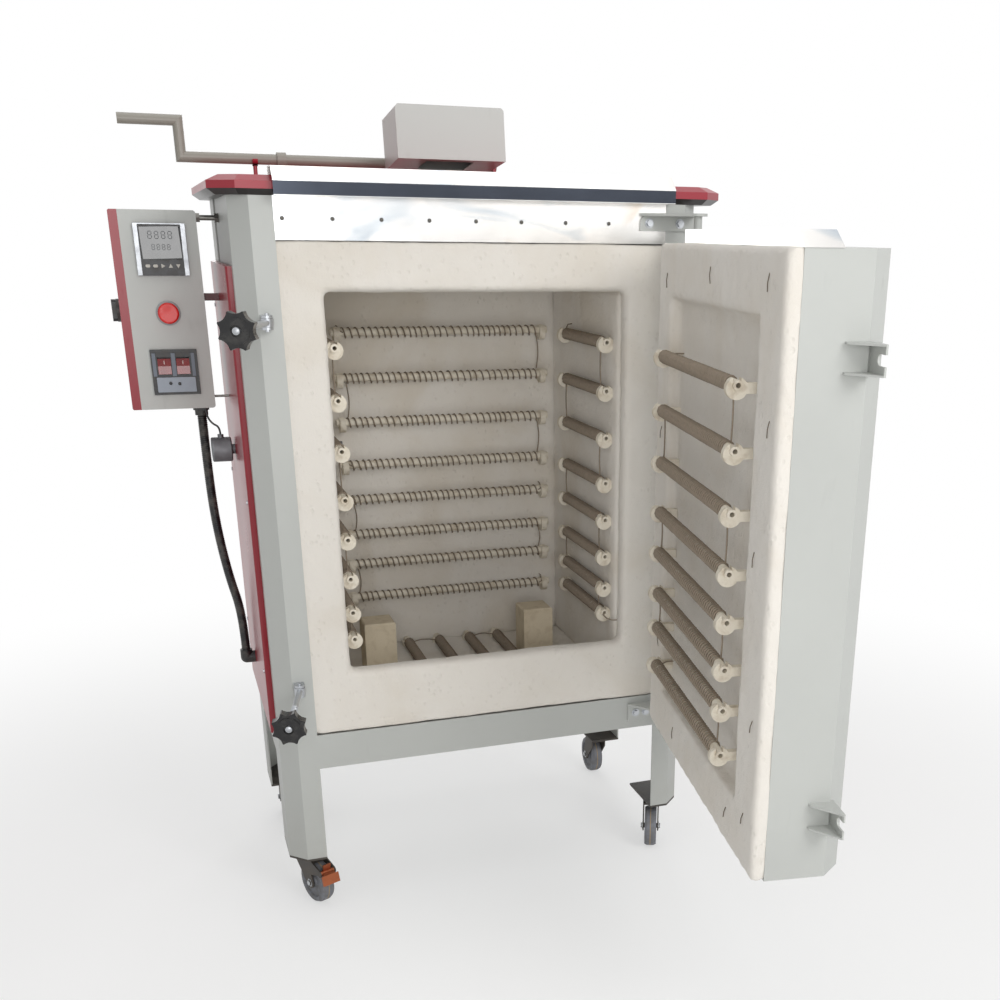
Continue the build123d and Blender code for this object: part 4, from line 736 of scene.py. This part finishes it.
class KILN_OT_wind_elements(bpy.types.Operator):
    """Wound heating wire on every tube, with the leads that join its rows"""

    bl_idname = "kiln.wind_elements"
    bl_label = "Wind the elements"

    def lead(self, maker, upper, lower, bow, rng):
        """Wire that drops from one row's end to the next, bowed a little."""
        line = []
        for k in range(9):
            t = k / 8
            sway = bow * sin(pi * t) + Vector((0, 0, 0.0006 * rng.uniform(-1, 1)))
            line.append(upper.lerp(lower, t) + sway)
        maker.wire(line, sizes().lead, 6)

    def wind(self, maker, first, last, pitch, wire, rng, loose=0.10, hang=HANG, per_turn=10):
        """One tube's turns between two points."""
        maker.wire(helix(first, last, sizes().winding, pitch, hang, rng, loose, per_turn), wire, 6)

    def wind_chamber(self, rng):
        """Open turns on the back wall and close ones on the sides and the floor."""
        size = sizes()
        maker = Maker()
        start, end = BACK_SPAN[0] + HOOK_REACH, BACK_SPAN[1] - HOOK_REACH
        for z in BACK_ROWS:
            first, last = cab(start, BACK_DEPTH, z), cab(end, BACK_DEPTH, z)
            self.wind(maker, first, last, size.back_pitch, size.wire, rng, 0.22, per_turn=12)
        for x, low, high in (LEFT_WALL, RIGHT_WALL):
            for z in SIDE_ROWS:
                first, last = cab(x, low + HOOK_REACH + BARE, z), cab(x, high - HOOK_REACH, z)
                self.wind(maker, first, last, size.side_pitch, size.close_wire, rng)
        for x in FLOOR_ROWS:
            first = cab(x, FLOOR_SPAN[0] + HOOK_REACH, FLOOR_HEIGHT)
            last = cab(x, FLOOR_SPAN[1] - HOOK_REACH, FLOOR_HEIGHT)
            self.wind(maker, first, last, size.side_pitch, size.close_wire, rng, 0.08, 0.0)
        return maker

    def wind_door(self, rng):
        maker = Maker()
        for z in BACK_ROWS:
            first = door(DOOR_SPAN[0] + HOOK_REACH, DOOR_DEPTH, z)
            last = door(DOOR_SPAN[1] - HOOK_REACH - BARE, DOOR_DEPTH, z)
            self.wind(maker, first, last, sizes().door_pitch, sizes().close_wire, rng)
        return maker

    def join_chamber(self, rng):
        """Leads between the chamber's rows, and the stubs that go into its walls."""
        joins = Maker()
        drop = sizes().winding
        edge = {"right": BACK_SPAN[1] - HOOK_REACH - 0.004, "left": BACK_SPAN[0] + HOOK_REACH + 0.004}
        for upper, lower, side in zip(BACK_ROWS, BACK_ROWS[1:], BACK_LEADS):
            if side:
                x, y = edge[side], BACK_DEPTH - 0.004
                bow = Vector((0.004, -0.002, 0))
                self.lead(joins, cab(x, y, upper - drop), cab(x, y, lower + drop), bow, rng)
        for x, low, high in (LEFT_WALL, RIGHT_WALL):
            for i in range(len(SIDE_ROWS) - 1):
                y = low + HOOK_REACH + BARE + 0.003 if i % 2 == 0 else high - HOOK_REACH - 0.003
                upper, lower = cab(x, y, SIDE_ROWS[i] - drop), cab(x, y, SIDE_ROWS[i + 1] + drop)
                self.lead(joins, upper, lower, Vector((0, 0.004, 0)), rng)
        back, front = FLOOR_SPAN[1] - HOOK_REACH - 0.003, FLOOR_SPAN[0] + HOOK_REACH + 0.003
        for i in range(len(FLOOR_ROWS) - 1):
            y = back if i % 2 == 0 else front
            left = cab(FLOOR_ROWS[i] + drop, y, FLOOR_HEIGHT)
            right = cab(FLOOR_ROWS[i + 1] - drop, y, FLOOR_HEIGHT)
            self.lead(joins, left, right, Vector((0, 0, 0.004)), rng)
        for row, side, out in ((0, "left", -1), (3, "left", -1), (4, "right", 1), (7, "right", 1)):
            x, y, z = edge[side], BACK_DEPTH - drop, BACK_ROWS[row]
            line = [
                cab(x, y, z),
                cab(x + 0.006 * out, y, z + 0.003),
                cab(x + 0.010 * out, 0.452, z + 0.012),
                cab(x + 0.010 * out, 0.468, z + 0.013),
            ]
            joins.wire(line, sizes().lead, 6)
        line = [
            cab(0.278, 0.350 - HOOK_REACH, SIDE_ROWS[0] + drop),
            cab(0.284, 0.356 - HOOK_REACH, 1.188),
            cab(0.299, 0.358 - HOOK_REACH, 1.190),
        ]
        joins.wire(line, sizes().lead, 6)
        line = [
            cab(0.272, 0.075, 0.590),
            cab(0.276, 0.045, 0.583),
            cab(0.286, 0.036, 0.580),
            cab(0.297, 0.034, 0.580),
        ]
        joins.wire(line, sizes().lead, 6)
        return joins

    def join_door(self, rng):
        joins = Maker()
        drop = sizes().winding
        first = DOOR_SPAN[0] + HOOK_REACH + 0.003
        last = DOOR_SPAN[1] - HOOK_REACH - BARE - 0.003
        for i in range(len(BACK_ROWS) - 1):
            along = last if i % 2 == 0 else first
            upper = door(along, DOOR_DEPTH + 0.004, BACK_ROWS[i] - drop)
            lower = door(along, DOOR_DEPTH + 0.004, BACK_ROWS[i + 1] + drop)
            self.lead(joins, upper, lower, DOOR_ALONG * 0.003, rng)
        for z in (BACK_ROWS[0], BACK_ROWS[-1]):
            line = [
                door(first, DOOR_DEPTH + drop, z),
                door(first - 0.002, -0.078, z + 0.004),
                door(first - 0.002, -0.062, z + 0.004),
            ]
            joins.wire(line, sizes().lead, 6)
        return joins

    def execute(self, context):
        rng = random.Random(11)
        wire = oxidised_wire("chamber_wire", colours().wire)
        piece = self.wind_chamber(rng).make("chamber_windings", wire, "element_wire", crease=80)
        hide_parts("coils_chamber")
        pale = oxidised_wire("door_wire", colours().wire, 0.55)
        piece = self.wind_door(rng).make("door_windings", pale, "element_wire", "door", 80)
        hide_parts("coils_door")
        self.join_chamber(rng).make("row_leads", wire, "element_wire", crease=80)
        self.join_door(rng).make("door_row_leads", wire, "element_wire", "door", 80)
        return {"FINISHED"}


class KILN_OT_run_conduit(bpy.types.Operator):
    """Ribbed conduit from the box to the side cover, and the sensor's lead"""

    bl_idname = "kiln.run_conduit"
    bl_label = "Run the conduit"

    CONDUIT = (
        (-0.519, 0.330, 1.018),
        (-0.519, 0.330, 0.905),
        (-0.515, 0.330, 0.790),
        (-0.500, 0.330, 0.672),
        (-0.480, 0.330, 0.585),
        (-0.480, 0.330, 0.500),
    )
    LEAD = (
        (-0.511, 0.310, 1.035),
        (-0.511, 0.310, 1.018),
        (-0.502, 0.303, 1.003),
        (-0.488, 0.300, 0.996),
        (-0.488, 0.300, 0.981),
    )

    def centre_line(self, name, route):
        """Points along the route's NURBS spline."""
        data = bpy.data.curves.new(name, "CURVE")
        data.dimensions = "3D"
        data.resolution_u = 24
        spline = data.splines.new("NURBS")
        spline.points.add(len(route) - 1)
        for point, place in zip(spline.points, route):
            point.co = (*cab(*place), 1)
        spline.order_u = 3
        spline.use_endpoint_u = True
        carrier = bpy.data.objects.new(name, data)
        bpy.context.scene.collection.objects.link(carrier)
        bpy.context.view_layer.update()
        evaluated = carrier.evaluated_get(bpy.context.evaluated_depsgraph_get())
        mesh = bpy.data.meshes.new_from_object(evaluated)
        line = [vertex.co.copy() for vertex in mesh.vertices]
        bpy.data.objects.remove(carrier)
        return line

    def ribs(self, line):
        """Close points along a line, with the radius of the ribbed tube at each."""
        reach = [0.0]
        for before, here in zip(line, line[1:]):
            reach.append(reach[-1] + (here - before).length)
        pitch = sizes().rib_pitch
        count = int(reach[-1] / (pitch / 6))
        points, radii, k = [], [], 0
        for i in range(count + 1):
            along = reach[-1] * i / count
            while k < len(reach) - 2 and reach[k + 1] < along:
                k += 1
            share = (along - reach[k]) / (reach[k + 1] - reach[k])
            points.append(line[k].lerp(line[k + 1], share))
            ripple = 0.5 - 0.5 * cos(2 * pi * along / pitch)
            radii.append(0.0095 - sizes().rib_depth * ripple**2)
        return points, radii

    def execute(self, context):
        line = self.centre_line("conduit_line", self.CONDUIT)
        maker = Maker()
        maker.wire(*self.ribs(line), 20)
        black = moulded("conduit_plastic", tint("17181a"), 0.34, 0.00003, 0.3)
        piece = maker.make("ribbed_conduit", black, "conduit_black", crease=70)
        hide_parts("conduit")

        line = self.centre_line("lead_line", self.LEAD)
        maker = Maker()
        maker.wire(line, 0.002, 12)
        jacket = moulded("lead_jacket", tint("26282b"), 0.45)
        piece = maker.make("sensor_flex", jacket, "conduit_black", crease=70)
        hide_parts("sensor_lead")
        coat(moulded("gland_plastic", tint("1c1d1f"), 0.4), "conduit_fittings")
        return {"FINISHED"}


class KILN_OT_dress_controls(bpy.types.Operator):
    """Display, keys, rockers, plates and stop button of the control box"""

    bl_idname = "kiln.dress_controls"
    bl_label = "Dress the controls"

    PLATE_BARS = ((-0.600, 0.0066), (-0.56325, 0.0078), (-0.526, 0.0066))
    PLATE_FRONT = 0.2975

    def block(self, maker, spot, size, round_off=0.0):
        """Block that stands out of the box's front."""
        maker.block(facing(spot, FRONT), size, round_off)

    def frame_gauge(self, middle, wide, tall):
        """Bright bars at the bezel's sides and a thin one along its top."""
        bars = Maker()
        for side in (-1, 1):
            spot = middle + Vector((side * (wide / 2 - 0.0045), 0, 0))
            self.block(bars, spot, (0.0082, tall - 0.001, 0.0009), 0.001)
        self.block(bars, middle + UP * (tall / 2 - 0.0012), (wide - 0.002, 0.0020, 0.0008), 0.0005)
        bars.make("gauge_side_bars", zinc_plate("gauge_silver", tint("b9bcc0"), 0.3), "zinc")

    def show_digits(self, middle):
        """Two rows of four unlit seven-segment digits."""
        digits = Maker()
        for lift, height in ((0.0265, 0.013), (0.0045, 0.010)):
            half, thick = height / 2, height * 0.11
            upright, level = (thick, height * 0.36, 0.0002), (height * 0.40, thick, 0.0002)
            marks = [(0, rise, level) for rise in (half, 0, -half)]
            marks += [(x, z, upright) for z in (half / 2, -half / 2) for x in (-half * 0.5, half * 0.5)]
            for index in range(4):
                across = (index - 1.5) * height * 0.95
                for x, z, size in marks:
                    self.block(digits, middle + Vector((across + x, -0.0007, lift + z)), size)
        grey = moulded("segment_grey", tint("30353a"), 0.3)
        digits.make("gauge_segments", grey, "black_plastic")

    def fit_keys(self, middle):
        """Two oblong keys and three arrow keys under the display."""
        keys = Maker()
        arrow = [(0.0042, 0.0), (-0.0032, 0.0040), (-0.0032, -0.0040)]
        for x, turn in ((-0.028, None), (-0.014, None), (0.0, 0), (0.014, pi / 2), (0.028, -pi / 2)):
            spot = middle + Vector((x, 0, -0.030))
            if turn is None:
                self.block(keys, spot, (0.0088, 0.0058, 0.0013), 0.0022)
            else:
                place = facing(spot, FRONT) @ Matrix.Rotation(turn, 4, "Z")
                keys.rings([[place @ Vector((px, py, h)) for px, py in arrow] for h in (0, 0.0012)])
        keys.make("gauge_keys", moulded("key_grey", tint("c4c1b8"), 0.4), "black_plastic")

    def dress_panel(self):
        """Plates, screws and rocker marks of the switch panel."""
        plates = Maker()
        self.block(plates, cab(-0.5615, self.PLATE_FRONT, 1.0835), (0.074, 0.029, 0.0012), 0.001)
        pale = powder_coat("plate_pale_grey", tint("9aa3ad"), 0.4)
        plates.make("switch_lower_plate", pale, "painted_grey")
        plates = Maker()
        for x, wide in self.PLATE_BARS:
            self.block(plates, cab(x, self.PLATE_FRONT, 1.1225), (wide, 0.045, 0.0012), 0.0006)
        dark = powder_coat("plate_dark_grey", tint("6d7580"), 0.4)
        plates.make("switch_upper_plate", dark, "painted_grey")
        dots = Maker()
        head = [(0.0032, 0), (0.0032, 0.0012), (0.0022, 0.0018), (0.0004, 0.0018)]
        for x, z in ((-0.573, 1.0865), (-0.556, 1.0855)):
            dots.turned(facing(cab(x, 0.2963, z), FRONT), head, 18)
        black = moulded("panel_screw_black", tint("141517"), 0.3)
        dots.make("switch_panel_screws", black, "black_plastic")
        for x, body in ((-0.581, "rocker_a"), (-0.5455, "rocker_b")):
            marks = Maker()
            self.block(marks, cab(x, 0.2927, 1.1275), (0.0012, 0.0070, 0.0003))
            white = moulded(f"{body}_white", tint("e8d9d4"), 0.4)
            marks.make(f"{body}_mark", white, "red_plastic", body)

    def execute(self, context):
        black = moulded("control_black", tint("15161a"), 0.3)
        coat(black, "temperature_controller", "switch_panel", "main_switch")
        coat(moulded("stop_red", tint("d8201c"), 0.2, 0.00002, 0.05), "stop_button")
        # The rockers get a painted glow in place of their highlights.
        coat(painted_glow_red("rocker_painted_glow_red", tint("8a0f14"), 0.12), "rocker_left", "rocker_right")
        low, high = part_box("temperature_controller")
        middle = Vector(((low.x + high.x) / 2, low.y - 0.0001, (low.z + high.z) / 2))
        wide, tall = high.x - low.x, high.z - low.z
        self.frame_gauge(middle, wide, tall)
        glass = Maker()
        self.block(glass, middle + UP * 0.0125, (wide - 0.022, 0.060, 0.0007), 0.002)
        glass.make("gauge_window", display_glass("gauge_glass"), "black_plastic")
        self.show_digits(middle)
        self.fit_keys(middle)
        self.dress_panel()
        collar = Maker()
        ring = [(0.0235, 0), (0.0235, 0.002), (0.0215, 0.0034), (0.0125, 0.0034)]
        collar.turned(facing(cab(-0.562, 0.302, 1.221), FRONT), ring, 36)
        grey = moulded("stop_collar_grey", tint("9b9fa1"), 0.4)
        collar.make("stop_collar", grey, "black_plastic")
        return {"FINISHED"}


class KILN_OT_dress_latches(bpy.types.Operator):
    """Glossy star knobs, and the threads on the swing bolts"""

    bl_idname = "kiln.dress_latches"
    bl_label = "Dress the latches"

    def execute(self, context):
        bakelite = moulded("knob_bakelite", tint("0e0e10"), 0.16, 0.00001, 0.08)
        coat(bakelite, "star_knob_upper", "star_knob_lower")
        zinc = zinc_plate("thread_zinc", tint("bcbfc3"), 0.32)
        for name, angle, z in (("upper", 19.5, 1.222), ("lower", 12.6, 0.515)):
            turn = radians(angle)
            along = Vector((-sin(turn), -cos(turn), 0))
            pivot = cab(-0.403, -0.016, z)
            thread = Maker()
            first, last = pivot + along * 0.098, pivot + along * 0.172
            turns = helix(first, last, 0.0059, 0.0018, 0.0, random.Random(3), 0.0, 12)
            thread.wire(turns, 0.00055, 4)
            tip = facing(pivot + along * 0.2068, along)
            thread.turned(tip, [(0.0056, 0), (0.0050, 0.0009), (0.0003, 0.0009)], 24)
            thread.make(f"bolt_thread_{name}", zinc, "zinc", f"bolt_{name}", 60)
        return {"FINISHED"}


class KILN_OT_dress_castors(bpy.types.Operator):
    """Tread, seams and axle nuts of the four castors"""

    bl_idname = "kiln.dress_castors"
    bl_label = "Dress the castors"

    SEAM = ((0.046, 0), (0.04755, 0.0004), (0.04755, 0.0024), (0.046, 0.0028))
    NUT = (
        (0.0095, 0), (0.0095, 0.0008), (0.0060, 0.0012), (0.0060, 0.0040), (0.0052, 0.0046), (0.0003, 0.0046),
    )

    def execute(self, context):
        tread = castor_tread("castor_tread", colours().wheel)
        seam = moulded("castor_seam_tan", tint("a08a66"), 0.55, 0.0001)
        zinc = zinc_plate("axle_zinc", tint("c4c7ca"), 0.3)
        for corner in CORNERS:
            coat(tread, f"castor_wheel_{corner}")
            joint = JOINTS[f"roll_{corner}"]
            axis = Vector(joint["axis"]).normalized()
            middle = Vector(joint["pos_m"])
            ring = Maker()
            ring.turned(facing(middle - axis * 0.0014, axis), self.SEAM, 48)
            ring.make(f"castor_seam_{corner}", seam, "castor_wheel", f"wheel_{corner}")
            nuts = Maker()
            for side in (-1, 1):
                nuts.turned(facing(middle + axis * side * 0.0191, axis * side), self.NUT, 6)
            nuts.make(f"axle_nuts_{corner}", zinc, "zinc", f"fork_{corner}", 30)
        return {"FINISHED"}


class KILN_OT_add_fasteners(bpy.types.Operator):
    """Screws along the heat shield, the back panel and the right cover"""

    bl_idname = "kiln.add_fasteners"
    bl_label = "Add the fasteners"

    def execute(self, context):
        dark = zinc_plate("screw_dark", tint("6a6762"), 0.4)
        bright = zinc_plate("screw_bright", tint("d4d6d8"), 0.25)
        shield = Maker()
        for index in range(8):
            pan_head(shield, cab(-0.361 + index * 0.088, -0.0027, 1.397), FRONT, 0.0036, 0.0016)
        shield.make("shield_screws", dark, "zinc")
        back = Maker()
        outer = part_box("body_panels")[1].y
        for x in (-0.36, -0.12, 0.12, 0.36):
            for z in (0.46, 0.92, 1.38):
                pan_head(back, Vector((CABINET.x + x, outer, z)), Vector((0, 1, 0)), 0.0045, 0.0024)
        back.make("back_panel_screws", bright, "zinc")
        cover = Maker()
        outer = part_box("side_covers")[1].x
        for y in (0.080, 0.465):
            for z in (0.43, 0.66, 0.88, 1.06, 1.28):
                pan_head(cover, Vector((outer, CABINET.y + y, z)), Vector((1, 0, 0)), 0.004, 0.0022)
        cover.make("right_cover_screws", bright, "zinc")
        return {"FINISHED"}


class KILN_OT_build_stage(bpy.types.Operator):
    """Pale floor, soft lamps and the camera of the picture"""

    bl_idname = "kiln.build_stage"
    bl_label = "Build the stage"

    def area(self, name, place, aim, size, watts):
        """Soft lamp that looks at a point."""
        lamp = bpy.data.lights.new(name, "AREA")
        lamp.shape = "RECTANGLE"
        lamp.size, lamp.size_y = size
        lamp.energy = watts
        holder = bpy.data.objects.new(name, lamp)
        holder.matrix_world = facing(Vector(place), Vector(place) - Vector(aim))
        bpy.context.scene.collection.objects.link(holder)

    def execute(self, context):
        scene = bpy.context.scene
        scene.view_settings.view_transform = "Standard"
        floor = bpy.data.meshes.new("stage_floor")
        reach = STAGE_REACH
        corners = [(-reach, -reach, 0), (reach, -reach, 0), (reach, reach, 0), (-reach, reach, 0)]
        floor.from_pydata(corners, [], [(0, 1, 2, 3)])
        ground = Finish("stage_pale", Roughness=0.9)
        ground.colour(ground.mix(ground.noise(3, 3.0), tint("f1f1f0"), tint("f6f6f5")))
        distance = ground.add("ShaderNodeVectorMath", {"operation": "LENGTH"}, {0: ground.place()}, "Value")
        seen = ground.background_rays() * (0.50 + 0.50 * distance.above(1.9, 0.9))
        glow = ground.add("ShaderNodeEmission", sockets={"Color": (1, 1, 1), "Strength": 1.0})
        surface = Value(ground, ground.shader.outputs[0])
        blend = ground.add("ShaderNodeMixShader", sockets={0: seen, 1: surface, 2: glow})
        ground.feed(ground.tree.nodes["Material Output"].inputs[0], blend)
        floor.materials.append(ground.material)
        piece = bpy.data.objects.new("stage_floor", floor)
        scene.collection.objects.link(piece)

        world = bpy.data.worlds.new("studio_white")
        world.use_nodes = True
        scene.world = world
        sky = Tree(world.node_tree)
        sockets = {"Value": sky.background_rays(), "To Min": AMBIENT}
        strength = sky.add("ShaderNodeMapRange", sockets=sockets)
        background = sky.tree.nodes["Background"]
        background.inputs["Color"].default_value = (1, 1, 1, 1)
        sky.feed(background.inputs["Strength"], strength)

        for lamp in LAMPS:
            self.area(*lamp)

        level = Vector((sin(CAMERA_YAW), cos(CAMERA_YAW), 0))
        ahead = level * cos(CAMERA_PITCH) - UP * sin(CAMERA_PITCH)
        right = Vector((cos(CAMERA_YAW), -sin(CAMERA_YAW), 0))
        upward = right.cross(ahead)
        turned_right = right * cos(CAMERA_ROLL) + upward * sin(CAMERA_ROLL)
        turned_up = upward * cos(CAMERA_ROLL) - right * sin(CAMERA_ROLL)
        view = bpy.data.cameras.new("picture_camera")
        view.sensor_width = 36
        view.lens = CAMERA_LENS
        view.shift_x, view.shift_y = CAMERA_SHIFT
        camera = bpy.data.objects.new("picture_camera", view)
        matrix = Matrix((turned_right, turned_up, -ahead)).transposed().to_4x4()
        matrix.translation = CAMERA_PLACE
        camera.matrix_world = matrix
        scene.collection.objects.link(camera)
        scene.camera = camera
        return {"FINISHED"}


OPERATORS = (
    KILN_OT_build_stage,
    KILN_OT_run_conduit,
    KILN_OT_coat_cabinet,
    KILN_OT_polish_metal,
    KILN_OT_lay_fibre,
    KILN_OT_fit_ceramics,
    KILN_OT_wind_elements,
    KILN_OT_dress_controls,
    KILN_OT_dress_latches,
    KILN_OT_dress_castors,
    KILN_OT_add_fasteners,
)


class KILN_PT_sidebar(bpy.types.Panel):
    """Sizes, colours and pieces of the kiln"""

    bl_idname = "KILN_PT_sidebar"
    bl_label = "Kiln"
    bl_space_type = "VIEW_3D"
    bl_region_type = "UI"
    bl_category = "Kiln"

    def draw(self, context):
        for group in (context.scene.kiln_colours, context.scene.kiln_sizes):
            for name in group.__annotations__:
                self.layout.prop(group, name)
        for operator in OPERATORS:
            self.layout.operator(operator.bl_idname)


CLASSES = (KilnColours, KilnSizes, *OPERATORS, KILN_PT_sidebar)


def register():
    for each in CLASSES:
        bpy.utils.register_class(each)
    bpy.types.Scene.kiln_colours = bpy.props.PointerProperty(type=KilnColours)
    bpy.types.Scene.kiln_sizes = bpy.props.PointerProperty(type=KilnSizes)


def unregister():
    del bpy.types.Scene.kiln_sizes
    del bpy.types.Scene.kiln_colours
    for each in reversed(CLASSES):
        bpy.utils.unregister_class(each)


def main():
    register()
    bpy.ops.kiln.build_stage()
    bpy.ops.kiln.run_conduit()
    bpy.ops.kiln.coat_cabinet()
    bpy.ops.kiln.polish_metal()
    bpy.ops.kiln.lay_fibre()
    bpy.ops.kiln.fit_ceramics()
    bpy.ops.kiln.wind_elements()
    bpy.ops.kiln.dress_controls()
    bpy.ops.kiln.dress_latches()
    bpy.ops.kiln.dress_castors()
    bpy.ops.kiln.add_fasteners()


if __name__ == "__main__":
    main()
